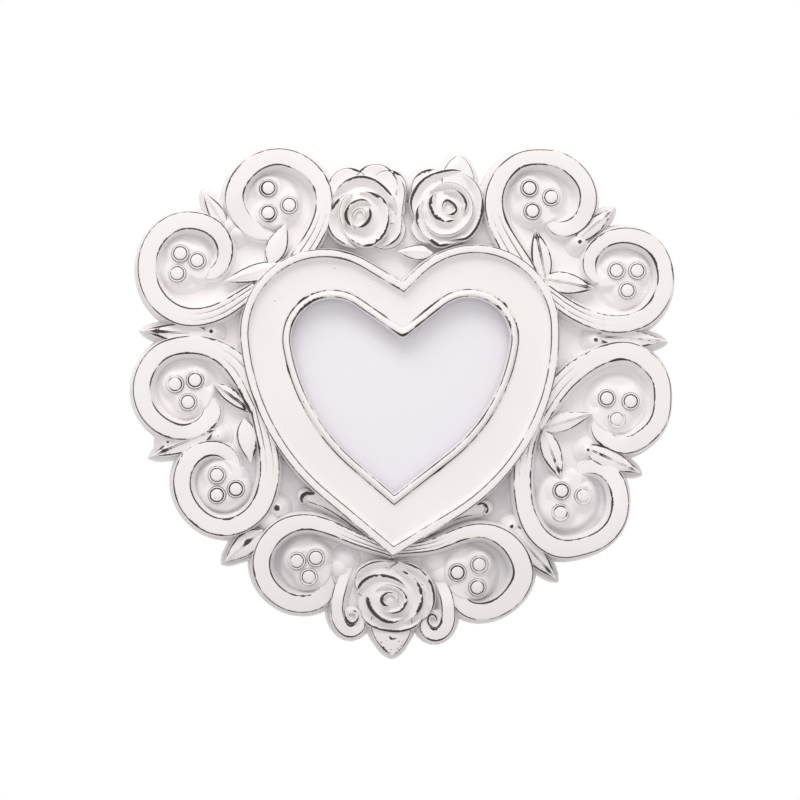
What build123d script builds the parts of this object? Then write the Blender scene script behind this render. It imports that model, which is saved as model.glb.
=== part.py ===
from build123d import *
import math
import os

os.makedirs("parts", exist_ok=True)

# A wall-hung picture frame: a heart-shaped moulding in a carved border of scrolls, berries, roses
# and leaves. The origin is the notch of the hanger that sits on the wall's nail, Y = 0 is the wall
# and -Y faces the viewer. Depths are counted from the wall.

# Heart moulding. Its outer arris and the groove round its window are two hearts. Each half has a
# straight run from the notch, a lobe, and a flank that runs straight before the tip. The shares
# are of the moulding's height: how far down the heart's notch is, its height, how far its tip is
# to the left, the radius of its lobes and its two runs. The tables hold the left half first. The
# angles are the slope of the run and the sweep of the lobe, and the straight shares are of the flank.
heart_height = 137.0
OUTER_SHARES = {"drop": 0.0, "height": 1.0, "tip_shift": 0.0365, "lobe_radius": 0.3066,
                "runs": (0.1504, 0.0708)}
OUTER_STRAIGHT_SHARES = (0.35, 0.26)
OUTER_ANGLES = ((30.7, 125.8), (44.3, 132.2))
GROOVE_SHARES = {"drop": 0.1701, "height": 0.6423, "tip_shift": 0.0314, "lobe_radius": 0.1796,
                 "runs": (0.1898, 0.1701)}
GROOVE_STRAIGHT_SHARES = (0.3, 0.36)
GROOVE_ANGLES = ((34.9, 134.5), (38.5, 137.2))
rim_width = 4.0
bead_width = 3.5
lip_overlap = 4.0
notch_round = 3.0

# Depths, each from the one before it
bumper_thick = 3.0
panel_thick = 9.0
flat_rise = 8.0
rim_rise = 12.0
bead_rise = 10.5
rebate_rise = 2.8
band_rise = 9.0
eye_rise = 5.5
leaf_rise = 6.5
dart_rise = 6.0
volute_rise = 7.0
volute_eye_rise = 4.5
bud_rise = 5.0

# Berries: a ring and a domed middle
berry_radius = 4.4
berry_ring = 1.2
berry_ring_rise = 1.3
berry_dome_rise = 2.4

# Roses: rings of petals that climb towards the eye
petal_rises = (5.0, 8.0, 10.0, 11.5)
PETAL_TAPER = 20
RING_SHARES = (1.0, 0.74, 0.5, 0.26)

# What the frame holds
glass_thick = 2.0
insert_thick = 0.4
board_thick = 3.0
pack_play = 0.1
pack_clearance = 0.5

# Hardware on the back
button_inset = 10.0
button_length = 21.0
button_width = 9.0
button_thick = 1.0
button_gap = 0.3
screw_radius = 1.5
screw_depth = 8.0
screw_head_radius = 3.2
screw_head_thick = 1.1
running_gap = 0.05
hanger_length = 44.0
hanger_height = 8.0
hanger_thick = 0.8
hanger_offset = 1.3
tab_length = 7.0
tooth_pitch = 4.0
tooth_depth = 2.0
tooth_count = 7
nail_radius = 0.7
nail_depth = 6.0
nail_head_radius = 1.7
nail_head_thick = 0.7
bumper_radius = 6.0
BUMPER_SCROLLS = ("top_left", "top_right", "lower_left", "lower_right")
BUTTON_LOBE_ANGLE = 22
BUTTON_FLANK_SHARE = 0.7

# The plan of the border was read from a photograph. One of its pixels is this share of the
# moulding's height.
PIXEL_SHARE = 1 / 274
HANG_PX = (402, 212)
NOTCH_PX = (403, 282)
pixel = heart_height * PIXEL_SHARE

# Each scroll: the middle line of its band from the heart to the curl, the band's width along it,
# and the eye that carries the berries
SCROLLS_PX = {
    "top_left": {
        "line": [(297, 262), (315, 234), (324, 206), (321, 184), (310, 169), (294, 159), (275, 156),
                 (255, 163), (240, 178), (234, 197), (239, 214), (250, 227), (264, 234), (277, 235)],
        "width": [18, 17, 16, 16, 17, 17, 16, 17, 18, 18, 18, 16, 12, 9],
        "berries": [(268, 187), (289, 204), (268, 212)],
        "eye": (272, 200, 24),
    },
    "upper_left": {
        "line": [(250, 292), (226, 308), (205, 316), (183, 316), (164, 306), (151, 288), (147, 268),
                 (151, 247), (163, 230), (180, 221), (198, 221), (214, 228), (224, 243), (223, 261),
                 (212, 273), (198, 274)],
        "width": [13, 16, 17, 18, 18, 18, 18, 18, 18, 17, 17, 17, 16, 14, 13, 12],
        "berries": [(180, 253), (197, 260), (177, 273)],
        "eye": (184, 262, 25),
    },
    "middle_left": {
        "line": [(256, 400), (240, 369), (222, 353), (204, 346), (184, 345), (163, 351), (148, 367),
                 (142, 390), (148, 411), (163, 426), (184, 432), (202, 426), (212, 411), (207, 396)],
        "width": [22, 24, 20, 18, 17, 17, 17, 17, 17, 17, 15, 16, 18, 16],
        "berries": [(175, 384), (195, 380), (188, 402)],
        "eye": (186, 389, 26),
    },
    "lower_left": {
        "line": [(260, 414), (268, 448), (270, 471), (267, 490), (260, 507), (247, 520), (229, 527),
                 (210, 524), (194, 512), (184, 494), (183, 475), (191, 458), (206, 449), (222, 450),
                 (233, 460), (238, 474)],
        "width": [16, 18, 19, 19, 19, 18, 17, 17, 17, 17, 17, 17, 15, 14, 13, 12],
        "berries": [(217, 475), (236, 489), (217, 495)],
        "eye": (223, 485, 23),
    },
    "bottom_left": {
        "line": [(386, 550), (355, 538), (329, 527), (305, 522), (285, 527), (270, 540), (262, 558),
                 (264, 577), (274, 592), (290, 602), (306, 604), (321, 599), (328, 586), (324, 572)],
        "width": [8, 12, 14, 15, 17, 17, 17, 17, 17, 17, 17, 16, 15, 14],
        "berries": [(297, 561), (316, 558), (309, 577)],
        "eye": (307, 566, 24),
    },
    "top_right": {
        "line": [(522, 264), (504, 233), (495, 207), (497, 186), (507, 169), (522, 158), (542, 155),
                 (561, 158), (577, 168), (588, 184), (590, 201), (584, 217), (571, 226), (557, 225),
                 (549, 216)],
        "width": [22, 19, 18, 17, 16, 15, 15, 16, 16, 16, 17, 17, 16, 14, 13],
        "berries": [(531, 186), (553, 195), (534, 209)],
        "eye": (539, 197, 25),
    },
    "upper_right": {
        "line": [(551, 293), (568, 306), (589, 317), (611, 323), (632, 322), (650, 314), (662, 300),
                 (668, 281), (666, 262), (657, 246), (641, 236), (622, 234), (605, 240), (594, 253),
                 (593, 269), (602, 281)],
        "width": [13, 15, 16, 17, 17, 17, 17, 16, 16, 16, 16, 15, 14, 14, 13, 12],
        "berries": [(619, 269), (640, 269), (630, 289)],
        "eye": (628, 276, 26),
    },
    "middle_right": {
        "line": [(540, 418), (557, 391), (575, 372), (593, 360), (612, 352), (632, 351), (650, 361),
                 (662, 377), (665, 398), (661, 420), (648, 436), (630, 445), (611, 441), (600, 428),
                 (602, 414)],
        "width": [18, 20, 20, 18, 18, 18, 18, 17, 17, 17, 17, 17, 15, 14, 13],
        "berries": [(609, 398), (633, 401), (619, 419)],
        "eye": (620, 405, 27),
    },
    "lower_right": {
        "line": [(540, 412), (529, 438), (524, 462), (523, 483), (525, 504), (532, 525), (545, 541),
                 (562, 549), (583, 547), (603, 539), (618, 522), (622, 502), (618, 482), (606, 469),
                 (591, 467), (580, 475)],
        "width": [14, 16, 17, 17, 17, 18, 18, 18, 17, 17, 17, 17, 17, 16, 15, 14],
        "berries": [(563, 491), (585, 496), (562, 513)],
        "eye": (570, 500, 27),
    },
    "bottom_right": {
        "line": [(400, 550), (436, 544), (462, 534), (485, 531), (505, 539), (519, 555), (524, 574),
                 (517, 592), (502, 606), (484, 612), (468, 609), (459, 597), (461, 584)],
        "width": [8, 12, 13, 14, 17, 19, 20, 20, 18, 17, 16, 15, 14],
        "berries": [(458, 573), (480, 565), (478, 588)],
        "eye": (471, 575, 24),
    },
}

# Each rose: its eye, its main ring, and the rounds of the petals behind
ROSES_PX = {
    "rose_left": {
        "eye": (358, 215), "ring": (363, 212, 33),
        "petals": [(349, 187, 21), (376, 184, 22), (389, 186, 18), (391, 207, 15), (386, 228, 20)],
    },
    "rose_right": {
        "eye": (449, 205), "ring": (448, 207, 35),
        "petals": [(432, 187, 20), (455, 185, 19), (468, 196, 16), (428, 226, 16)],
    },
    "rose_bottom": {
        "eye": (388, 598), "ring": (391, 598, 33),
        "petals": [(374, 582, 19), (406, 584, 22), (414, 603, 20), (390, 614, 18)],
    },
}

# Leaves and darts: the base, the tip and the greatest width. The shares place the handles of
# their curves along the leaf and out from its middle.
LEAF_SHARES = ((0.3, 1.75), (0.74, 0.75))
LEAF_PAIRS_PX = {
    "leaves_top_left": [((269, 264), (286, 222), 21), ((285, 264), (223, 281), 18)],
    "leaves_top_right": [((548, 280), (537, 227), 20), ((543, 277), (597, 287), 22)],
    "leaves_middle_left": [((214, 383), (257, 415), 14), ((244, 418), (251, 463), 20)],
    "leaves_middle_right": [((543, 429), (594, 413), 18), ((545, 430), (563, 479), 20)],
}
LEAVES_PX = {
    "top_leaf": [((458, 196), (460, 153), 27)],
    "centre_leaf": [((434, 252), (398, 250), 15)],
    "bottom_leaf": [((391, 600), (393, 657), 42)],
}
DARTS_PX = {
    "dart_top_left": [((226, 228), (203, 191), 15)],
    "dart_upper_left": [((214, 335), (143, 330), 19)],
    "dart_lower_left": [((216, 429), (152, 456), 20)],
    "dart_bottom_left": [((263, 530), (225, 562), 22)],
    "dart_top_right": [((577, 240), (617, 206), 17)],
    "dart_upper_right": [((597, 335), (669, 340), 19)],
    "dart_lower_right": [((584, 446), (643, 473), 20)],
    "dart_bottom_right": [((508, 524), (558, 580), 22)],
}

# Small scrolls beside the lower rose and curled buds on the heart's flanks
VOLUTES_PX = {
    "volute_left": {
        "line": [(347, 572), (340, 590), (337, 609), (341, 625), (351, 632), (360, 626), (358, 616)],
        "width": [10, 12, 12, 12, 12, 11, 9], "eye": (351, 619, 11),
    },
    "volute_right": {
        "line": [(439, 580), (446, 594), (449, 611), (446, 629), (435, 636), (426, 629), (429, 619)],
        "width": [10, 12, 13, 13, 12, 11, 9], "eye": (436, 622, 12),
    },
}
BUDS_PX = {
    "bud_left": {
        "line": [(357, 526), (338, 511), (321, 501), (307, 496)], "width": [6, 8, 10, 11],
        "eye": (305, 496, 7),
    },
    "bud_right": {
        "line": [(420, 532), (436, 527), (452, 518), (470, 511), (486, 508)],
        "width": [6, 7, 8, 10, 11],
        "eye": (487, 508, 7),
    },
}

# Painted ground that joins motifs which don't meet. It also fills the ring through the eyes of
# these motifs, so that every gap inside the ring has a floor.
GROUND_RING = ("top_left", "upper_left", "middle_left", "lower_left", "bottom_left", "rose_bottom",
               "bottom_right", "lower_right", "middle_right", "upper_right", "top_right",
               "rose_right", "rose_left")
FLOORS_PX = {
    "beside_right_rose": [(470, 190), (500, 176), (512, 250), (466, 262)],
    "between_roses": [(386, 200), (428, 200), (440, 246), (403, 296), (364, 246)],
}

# Places worked out from the sizes above
panel_back = bumper_thick
panel_front = panel_back + panel_thick
rebate_floor = panel_front + rebate_rise
rebate_inset = bead_width - lip_overlap


def layer(depth):
    """The plane at a depth in front of the wall. Its first axis is X, its second Z."""
    return Plane(origin=(0, -depth, 0), x_dir=(1, 0, 0), z_dir=(0, -1, 0))


def spot(place_px):
    """A place on the front, from its pixel in the photograph."""
    return ((place_px[0] - HANG_PX[0]) * pixel, (HANG_PX[1] - place_px[1]) * pixel)


def heading(angle):
    """The unit vector at an angle."""
    return Vector(math.cos(math.radians(angle)), math.sin(math.radians(angle)))


def crossing(place, along, other_place, other_along):
    """Where two lines cross."""
    gap = other_place - place
    run = (gap.X * other_along.Y - gap.Y * other_along.X) / (
        along.X * other_along.Y - along.Y * other_along.X)
    return place + along * run


def half_heart(turn, notch, tip, radius, run, angles, straight_share):
    """One half of a heart: where its lobe and its flank turn, and how far."""
    slope, lobe_sweep = angles
    start_angle = 90 + turn * (90 - slope)
    end_angle = start_angle + turn * (lobe_sweep - 90)
    lobe_start = notch + heading(start_angle) * run
    lobe_centre = lobe_start + heading(start_angle + turn * 90) * radius
    reach = tip - lobe_centre - heading(end_angle) * radius
    flank_radius = reach.length**2 * (1 - straight_share**2) / (-2 * reach.dot(heading(end_angle)))
    flank_centre = lobe_centre - heading(end_angle) * (flank_radius - radius)
    to_tip = tip - flank_centre
    spread = math.degrees(math.acos(flank_radius / to_tip.length))
    last_angle = math.degrees(math.atan2(to_tip.Y, to_tip.X)) - turn * spread
    return {
        "turn": turn, "start_angle": start_angle, "end_angle": end_angle, "lobe_radius": radius,
        "lobe_centre": lobe_centre, "lobe_sweep": turn * lobe_sweep, "flank_radius": flank_radius,
        "flank_centre": flank_centre, "flank_sweep": turn * ((turn * (last_angle - end_angle)) % 360),
    }


def heart_halves(shares, angles, straight_shares):
    """Both halves of a heart, from its shares of the moulding's height."""
    notch = Vector(*spot(NOTCH_PX)) - Vector(0, shares["drop"]) * heart_height
    tip = notch - Vector(shares["tip_shift"], shares["height"]) * heart_height
    radius = shares["lobe_radius"] * heart_height
    return [
        half_heart(turn, notch, tip, radius, run * heart_height, *half)
        for turn, run, half in zip((1, -1), shares["runs"], zip(angles, straight_shares))
    ]


outer_heart = heart_halves(OUTER_SHARES, OUTER_ANGLES, OUTER_STRAIGHT_SHARES)
groove_heart = heart_halves(GROOVE_SHARES, GROOVE_ANGLES, GROOVE_STRAIGHT_SHARES)


def heart_face(halves, inset, rounding=0):
    """A heart's face, drawn in by an inset, with its notch rounded."""
    with BuildSketch() as heart:
        with BuildLine():
            lobes, flanks = [], []
            for half in halves:
                towards = heading(half["start_angle"] + half["turn"] * 90)
                radius = half["lobe_radius"] - inset
                start, ahead = half["lobe_centre"] - towards * radius, heading(half["start_angle"])
                lobes.append(JernArc(start, ahead, radius, half["lobe_sweep"]))
                radius = half["flank_radius"] - inset
                end, ahead = lobes[-1] @ 1, lobes[-1] % 1
                flanks.append(JernArc(end, ahead, radius, half["flank_sweep"]))
            notch = crossing(lobes[0] @ 0, lobes[0] % 0, lobes[1] @ 0, lobes[1] % 0)
            tip = crossing(flanks[0] @ 1, flanks[0] % 1, flanks[1] @ 1, flanks[1] % 1)
            for lobe, flank in zip(lobes, flanks):
                Line(notch, lobe @ 0)
                Line(flank @ 1, tip)
        make_face()
        if rounding:
            fillet(heart.vertices().sort_by_distance(notch)[0], rounding)
    return heart.sketch


def window_face(inset):
    """The window's heart, drawn in from the groove."""
    return heart_face(groove_heart, inset, notch_round)


def ribbon_sides(line_px, width_px):
    """Points along both sides of a ribbon, from its middle line and its width."""
    places = [Vector(*spot(place)) for place in line_px]
    runs = [(after - before).length for before, after in zip(places, places[1:])]
    stations = [sum(runs[:count]) / sum(runs) for count in range(len(places))]
    middle = Spline(*places, mode=Mode.PRIVATE)
    left, right = [], []
    for index in range(len(places)):
        steps = [(stations[index], width_px[index])]
        if index + 1 < len(places):
            between = (stations[index] + stations[index + 1]) / 2
            steps.append((between, (width_px[index] + width_px[index + 1]) / 2))
        for station, width in steps:
            at, along = middle.position_at(station), middle.tangent_at(station)
            across = Vector(-along.Y, along.X) * (width * pixel / 2)
            left.append(at + across)
            right.append(at - across)
    return left, right


def ribbon_face(ribbon):
    """The face of a ribbon, between its two sides."""
    left, right = ribbon_sides(ribbon["line"], ribbon["width"])
    with BuildSketch() as face:
        with BuildLine():
            Spline(*left)
            Line(left[-1], right[-1])
            Spline(*right)
            Line(right[0], left[0])
        make_face()
    return face.sketch


def leaf_face(leaf_px):
    """A leaf that swells near its base and comes to a point at its tip."""
    base, tip = Vector(*spot(leaf_px[0])), Vector(*spot(leaf_px[1]))
    along = (tip - base).normalized()
    across = Vector(-along.Y, along.X) * (leaf_px[2] * pixel / 2)
    with BuildSketch() as face:
        with BuildLine():
            for side in (across, -across):
                swells = [base + (tip - base) * run + side * swell for run, swell in LEAF_SHARES]
                Bezier(base, *swells, tip)
        make_face()
    return face.sketch


def disc_face(round_px):
    """A disc, from the pixels of its middle and its radius."""
    with BuildSketch() as face:
        with Locations(spot(round_px[:2])):
            Circle(round_px[2] * pixel)
    return face.sketch


def rose_faces(rose):
    """The footprint of a rose: its main ring and the petals behind."""
    return [disc_face(rose["ring"])] + [disc_face(petal) for petal in rose["petals"]]


def floor_face(corners_px):
    """A painted floor between motifs."""
    with BuildSketch() as face:
        with BuildLine():
            Polyline(*[spot(corner) for corner in corners_px], close=True)
        make_face()
    return face.sketch


def near(part, taken):
    """The finished pieces whose boxes meet the part's own."""
    own = part.bounding_box()
    found = []
    for piece in taken:
        other = piece.bounding_box()
        apart_x = own.min.X >= other.max.X or other.min.X >= own.max.X
        apart_z = own.min.Z >= other.max.Z or other.min.Z >= own.max.Z
        if not apart_x and not apart_z:
            found.append(piece)
    return found


def save(part, name):
    part.label = name
    export_step(part, f"parts/{name}.step")


# Heart moulding: rim, flat face and bead round the window, with the rebate behind
with BuildPart() as heart_moulding:
    with BuildSketch(layer(panel_front)):
        add(heart_face(outer_heart, 0))
    extrude(amount=rim_rise)
    with BuildSketch(layer(panel_front + flat_rise)):
        add(heart_face(outer_heart, rim_width))
    extrude(amount=rim_rise - flat_rise, mode=Mode.SUBTRACT)
    with BuildSketch(layer(panel_front + flat_rise)):
        add(window_face(0))
    extrude(amount=bead_rise - flat_rise)
    with BuildSketch(layer(panel_front)):
        add(window_face(bead_width))
    extrude(amount=rim_rise, mode=Mode.SUBTRACT)
    with BuildSketch(layer(panel_front)):
        add(window_face(rebate_inset))
    extrude(amount=rebate_rise, mode=Mode.SUBTRACT)
save(heart_moulding.part, "heart_moulding")

# The motifs stop at the heart's outer edge
with BuildPart() as heart_room:
    with BuildSketch(layer(panel_front)):
        add(heart_face(outer_heart, 0))
    extrude(amount=rim_rise)
taken = [heart_room.part]

# Roses
for name, rose in ROSES_PX.items():
    eye_x, eye_y = rose["eye"]
    ring_x, ring_y, ring_radius = rose["ring"]
    with BuildPart() as rose_part:
        with BuildSketch(layer(panel_front)):
            add(rose_faces(rose))
        extrude(amount=petal_rises[0])
        for share, low, high in zip(RING_SHARES[:-1], petal_rises[:-1], petal_rises[1:]):
            pull = 1 - share
            step = (ring_x + (eye_x - ring_x) * pull, ring_y + (eye_y - ring_y) * pull,
                    ring_radius * share)
            with BuildSketch(layer(panel_front + low)):
                add(disc_face(step))
            extrude(amount=high - low, taper=PETAL_TAPER)
        add(near(rose_part.part, taken), mode=Mode.SUBTRACT)
    save(rose_part.part, name)
    taken.append(rose_part.part)

# Scrolls, each a band that curls into the eye in its middle
for name, scroll in SCROLLS_PX.items():
    with BuildPart() as scroll_part:
        with BuildSketch(layer(panel_front)):
            add(ribbon_face(scroll))
        extrude(amount=band_rise)
        with BuildSketch(layer(panel_front)):
            add(disc_face(scroll["eye"]))
        extrude(amount=eye_rise)
        add(near(scroll_part.part, taken), mode=Mode.SUBTRACT)
    save(scroll_part.part, f"scroll_{name}")
    taken.append(scroll_part.part)

# Berries, three on each eye, each a domed button in a low ring
for name, scroll in SCROLLS_PX.items():
    with BuildPart() as berries:
        with BuildSketch(layer(panel_front + eye_rise)):
            with Locations(*[spot(berry) for berry in scroll["berries"]]):
                Circle(berry_radius)
        extrude(amount=berry_ring_rise)
        with BuildSketch(layer(panel_front + eye_rise + berry_ring_rise)):
            with Locations(*[spot(berry) for berry in scroll["berries"]]):
                Circle(berry_radius - berry_ring)
        extrude(amount=berry_dome_rise - berry_ring_rise)
        add(near(berries.part, taken), mode=Mode.SUBTRACT)
    save(berries.part, f"berries_{name}")
    taken.append(berries.part)

# Small scrolls and buds
for group, rise, middle_rise in ((VOLUTES_PX, volute_rise, volute_eye_rise),
                                 (BUDS_PX, bud_rise, bud_rise)):
    for name, curl in group.items():
        with BuildPart() as curl_part:
            with BuildSketch(layer(panel_front)):
                add(ribbon_face(curl))
            extrude(amount=rise)
            with BuildSketch(layer(panel_front)):
                add(disc_face(curl["eye"]))
            extrude(amount=middle_rise)
            add(near(curl_part.part, taken), mode=Mode.SUBTRACT)
        save(curl_part.part, name)
        taken.append(curl_part.part)

# Leaves and darts
for group, rise in ((LEAF_PAIRS_PX, leaf_rise), (LEAVES_PX, leaf_rise), (DARTS_PX, dart_rise)):
    for name, leaves in group.items():
        with BuildPart() as leaf_part:
            with BuildSketch(layer(panel_front)):
                add([leaf_face(leaf) for leaf in leaves])
            extrude(amount=rise)
            add(near(leaf_part.part, taken), mode=Mode.SUBTRACT)
        save(leaf_part.part, name)
        taken.append(leaf_part.part)

# Turn buttons stand on the ring between the rebate and the heart's outer edge
pivots = {}
for side, half in zip(("left", "right"), outer_heart):
    lobe_angle = 90 + half["turn"] * BUTTON_LOBE_ANGLE
    flank_angle = half["end_angle"] + half["flank_sweep"] * BUTTON_FLANK_SHARE
    at = half["lobe_centre"] + heading(lobe_angle) * (half["lobe_radius"] - button_inset)
    pivots[f"top_{side}"] = (at, lobe_angle + 180)
    at = half["flank_centre"] + heading(flank_angle) * (half["flank_radius"] - button_inset)
    pivots[f"bottom_{side}"] = (at, flank_angle + 180)

button_back = panel_back - button_gap - button_thick
tail = button_length - button_width
for name, (at, inward_angle) in pivots.items():
    with BuildPart() as turn_button:
        with BuildSketch(layer(button_back)):
            with Locations(Location(at, inward_angle - 90)):
                with Locations((tail / 2, 0)):
                    SlotCenterToCenter(tail, button_width)
                Circle(screw_radius + running_gap, mode=Mode.SUBTRACT)
        extrude(amount=button_thick)
    save(turn_button.part, f"turn_button_{name}")

with BuildPart() as button_screws:
    head_front = button_back - running_gap
    with BuildSketch(layer(head_front - screw_head_thick)):
        with Locations(*[at for at, angle in pivots.values()]):
            Circle(screw_head_radius)
    extrude(amount=screw_head_thick)
    with BuildSketch(layer(head_front)):
        with Locations(*[at for at, angle in pivots.values()]):
            Circle(screw_radius)
    extrude(amount=panel_back - head_front + screw_depth)
save(button_screws.part, "button_screws")

# Sawtooth hanger: a strip with teeth, held off the panel by a joggle at each tab
tab_centre = (hanger_length - tab_length) / 2
strip_length = hanger_length - 2 * tab_length
tab_back = panel_back - hanger_thick
strip_back = panel_back - hanger_offset - hanger_thick
hanger_middle = hanger_height / 2 - tooth_depth
with BuildPart() as sawtooth_hanger:
    with BuildSketch(layer(tab_back)):
        with Locations((-tab_centre, hanger_middle), (tab_centre, hanger_middle)):
            Rectangle(tab_length, hanger_height)
    extrude(amount=hanger_thick)
    with BuildSketch(layer(strip_back)):
        with Locations((0, hanger_middle)):
            Rectangle(strip_length + 2 * hanger_thick, hanger_height)
    extrude(amount=hanger_thick)
    with BuildSketch(layer(strip_back)):
        riser = (strip_length + hanger_thick) / 2
        with Locations((-riser, hanger_middle), (riser, hanger_middle)):
            Rectangle(hanger_thick, hanger_height)
    extrude(amount=panel_back - strip_back)
    with BuildSketch(layer(strip_back)):
        with GridLocations(tooth_pitch, 0, tooth_count, 1):
            with Locations((0, -tooth_depth)):
                Triangle(a=tooth_pitch, b=math.hypot(tooth_pitch / 2, tooth_depth),
                         c=math.hypot(tooth_pitch / 2, tooth_depth), align=(Align.CENTER, Align.MIN))
    extrude(amount=hanger_thick, mode=Mode.SUBTRACT)
    with BuildSketch(layer(tab_back)):
        with Locations((-tab_centre, hanger_middle), (tab_centre, hanger_middle)):
            Circle(nail_radius + running_gap)
    extrude(amount=hanger_thick, mode=Mode.SUBTRACT)
save(sawtooth_hanger.part, "sawtooth_hanger")

with BuildPart() as hanger_nails:
    with BuildSketch(layer(tab_back - nail_head_thick)):
        with Locations((-tab_centre, hanger_middle), (tab_centre, hanger_middle)):
            Circle(nail_head_radius)
    extrude(amount=nail_head_thick)
    with BuildSketch(layer(tab_back)):
        with Locations((-tab_centre, hanger_middle), (tab_centre, hanger_middle)):
            Circle(nail_radius)
    extrude(amount=nail_depth + hanger_thick)
save(hanger_nails.part, "hanger_nails")

with BuildPart() as wall_bumpers:
    with BuildSketch(layer(0)):
        with Locations(*[spot(SCROLLS_PX[name]["eye"]) for name in BUMPER_SCROLLS]):
            Circle(bumper_radius)
    extrude(amount=bumper_thick)
save(wall_bumpers.part, "wall_bumpers")

# Border panel: one board under every motif, solid but for the window
motifs = {**SCROLLS_PX, **ROSES_PX}
with BuildSketch() as footprint:
    add(heart_face(outer_heart, 0))
    add(floor_face([motifs[name]["eye"][:2] for name in GROUND_RING]))
    add([floor_face(corners) for corners in FLOORS_PX.values()])
    for curl in (*SCROLLS_PX.values(), *VOLUTES_PX.values(), *BUDS_PX.values()):
        add([ribbon_face(curl), disc_face(curl["eye"])])
    for rose in ROSES_PX.values():
        add(rose_faces(rose))
    for leaves in (*LEAF_PAIRS_PX.values(), *LEAVES_PX.values(), *DARTS_PX.values()):
        add([leaf_face(leaf) for leaf in leaves])

with BuildPart() as border_panel:
    with BuildSketch(layer(panel_back)):
        add(Face(footprint.faces().sort_by(SortBy.AREA)[-1].outer_wire()))
    extrude(amount=panel_thick)
    with BuildSketch(layer(panel_back)):
        add(window_face(rebate_inset))
    extrude(amount=panel_thick, mode=Mode.SUBTRACT)
    with BuildSketch(layer(panel_back)):
        with Locations(*[at for at, angle in pivots.values()]):
            Circle(screw_radius)
    extrude(amount=screw_depth, mode=Mode.SUBTRACT)
    with BuildSketch(layer(panel_back)):
        with Locations((-tab_centre, hanger_middle), (tab_centre, hanger_middle)):
            Circle(nail_radius)
    extrude(amount=nail_depth, mode=Mode.SUBTRACT)
save(border_panel.part, "border_panel")

# Behind the window: glass, the photo, a filler card and the backing board, each a heart
pack_face = window_face(rebate_inset + pack_clearance)
glass_back = rebate_floor - pack_play - glass_thick
insert_back = glass_back - pack_play - insert_thick
board_back = panel_back + button_gap
filler_back = board_back + board_thick + pack_play
filler_thick = insert_back - pack_play - filler_back
pack = {
    "glass_pane": (glass_back, glass_thick),
    "photo_insert": (insert_back, insert_thick),
    "filler_card": (filler_back, filler_thick),
    "backing_board": (board_back, board_thick),
}
for name, (back, thick) in pack.items():
    with BuildPart() as sheet:
        with BuildSketch(layer(back)):
            add(pack_face)
        extrude(amount=thick)
    save(sheet.part, name)

for name, (at, inward_angle) in pivots.items():
    print(f"turn_button_{name} turns about X {at.X:.3f} Z {at.Y:.3f}")
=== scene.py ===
import math

import bmesh
import bpy
import numpy as np
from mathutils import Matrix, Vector


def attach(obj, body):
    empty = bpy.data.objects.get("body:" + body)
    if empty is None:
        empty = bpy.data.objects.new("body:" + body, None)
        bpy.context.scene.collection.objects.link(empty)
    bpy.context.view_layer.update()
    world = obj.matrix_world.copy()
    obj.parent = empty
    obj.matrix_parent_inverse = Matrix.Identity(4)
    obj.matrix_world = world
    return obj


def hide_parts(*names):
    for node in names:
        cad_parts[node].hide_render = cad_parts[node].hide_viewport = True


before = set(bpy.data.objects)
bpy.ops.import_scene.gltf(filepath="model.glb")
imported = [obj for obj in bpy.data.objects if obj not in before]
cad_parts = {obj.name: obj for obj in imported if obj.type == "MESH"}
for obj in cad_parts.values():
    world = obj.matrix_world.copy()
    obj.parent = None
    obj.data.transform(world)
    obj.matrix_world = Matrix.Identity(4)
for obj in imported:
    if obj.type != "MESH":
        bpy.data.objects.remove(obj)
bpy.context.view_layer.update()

# Plan of the border, read from the photograph. One of its pixels is this long on the front, in mm,
# as the lengths below are.
PIXEL = 0.5
HANG_PX = (402, 212)
NOTCH_PX = (403, 282)

# Depths from the wall
BACK = 3.0
GROUND = 12.0
# How far a wall leans out for each unit that it goes back
DRAFT = 0.185
# The distance that stands for no arris near
NO_ARRIS = 9.0
# A millimetre in the scene's metres
MM = 0.001

# The heart's outer arris and the groove round its window, as in the CAD, with the radii of the
# rounding at the notch and at the tip
OUTER = {"drop": 0.0, "height": 137.0, "tip_shift": 5.0, "radius": 42.0, "runs": (20.6, 9.7),
         "angles": ((30.7, 125.8), (44.3, 132.2)), "straight_shares": (0.35, 0.26),
         "rounding": (0.5, 1.0)}
GROOVE = {"drop": 23.3, "height": 88.0, "tip_shift": 4.3, "radius": 24.6, "runs": (26.0, 23.3),
          "angles": ((34.9, 134.5), (38.5, 137.2)), "straight_shares": (0.3, 0.36),
          "rounding": (3.0, 0.8)}
CORNER_STEPS = 9
RUN_STEPS = 16
LOBE_STEPS = 90
FLANK_STEPS = 80

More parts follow.
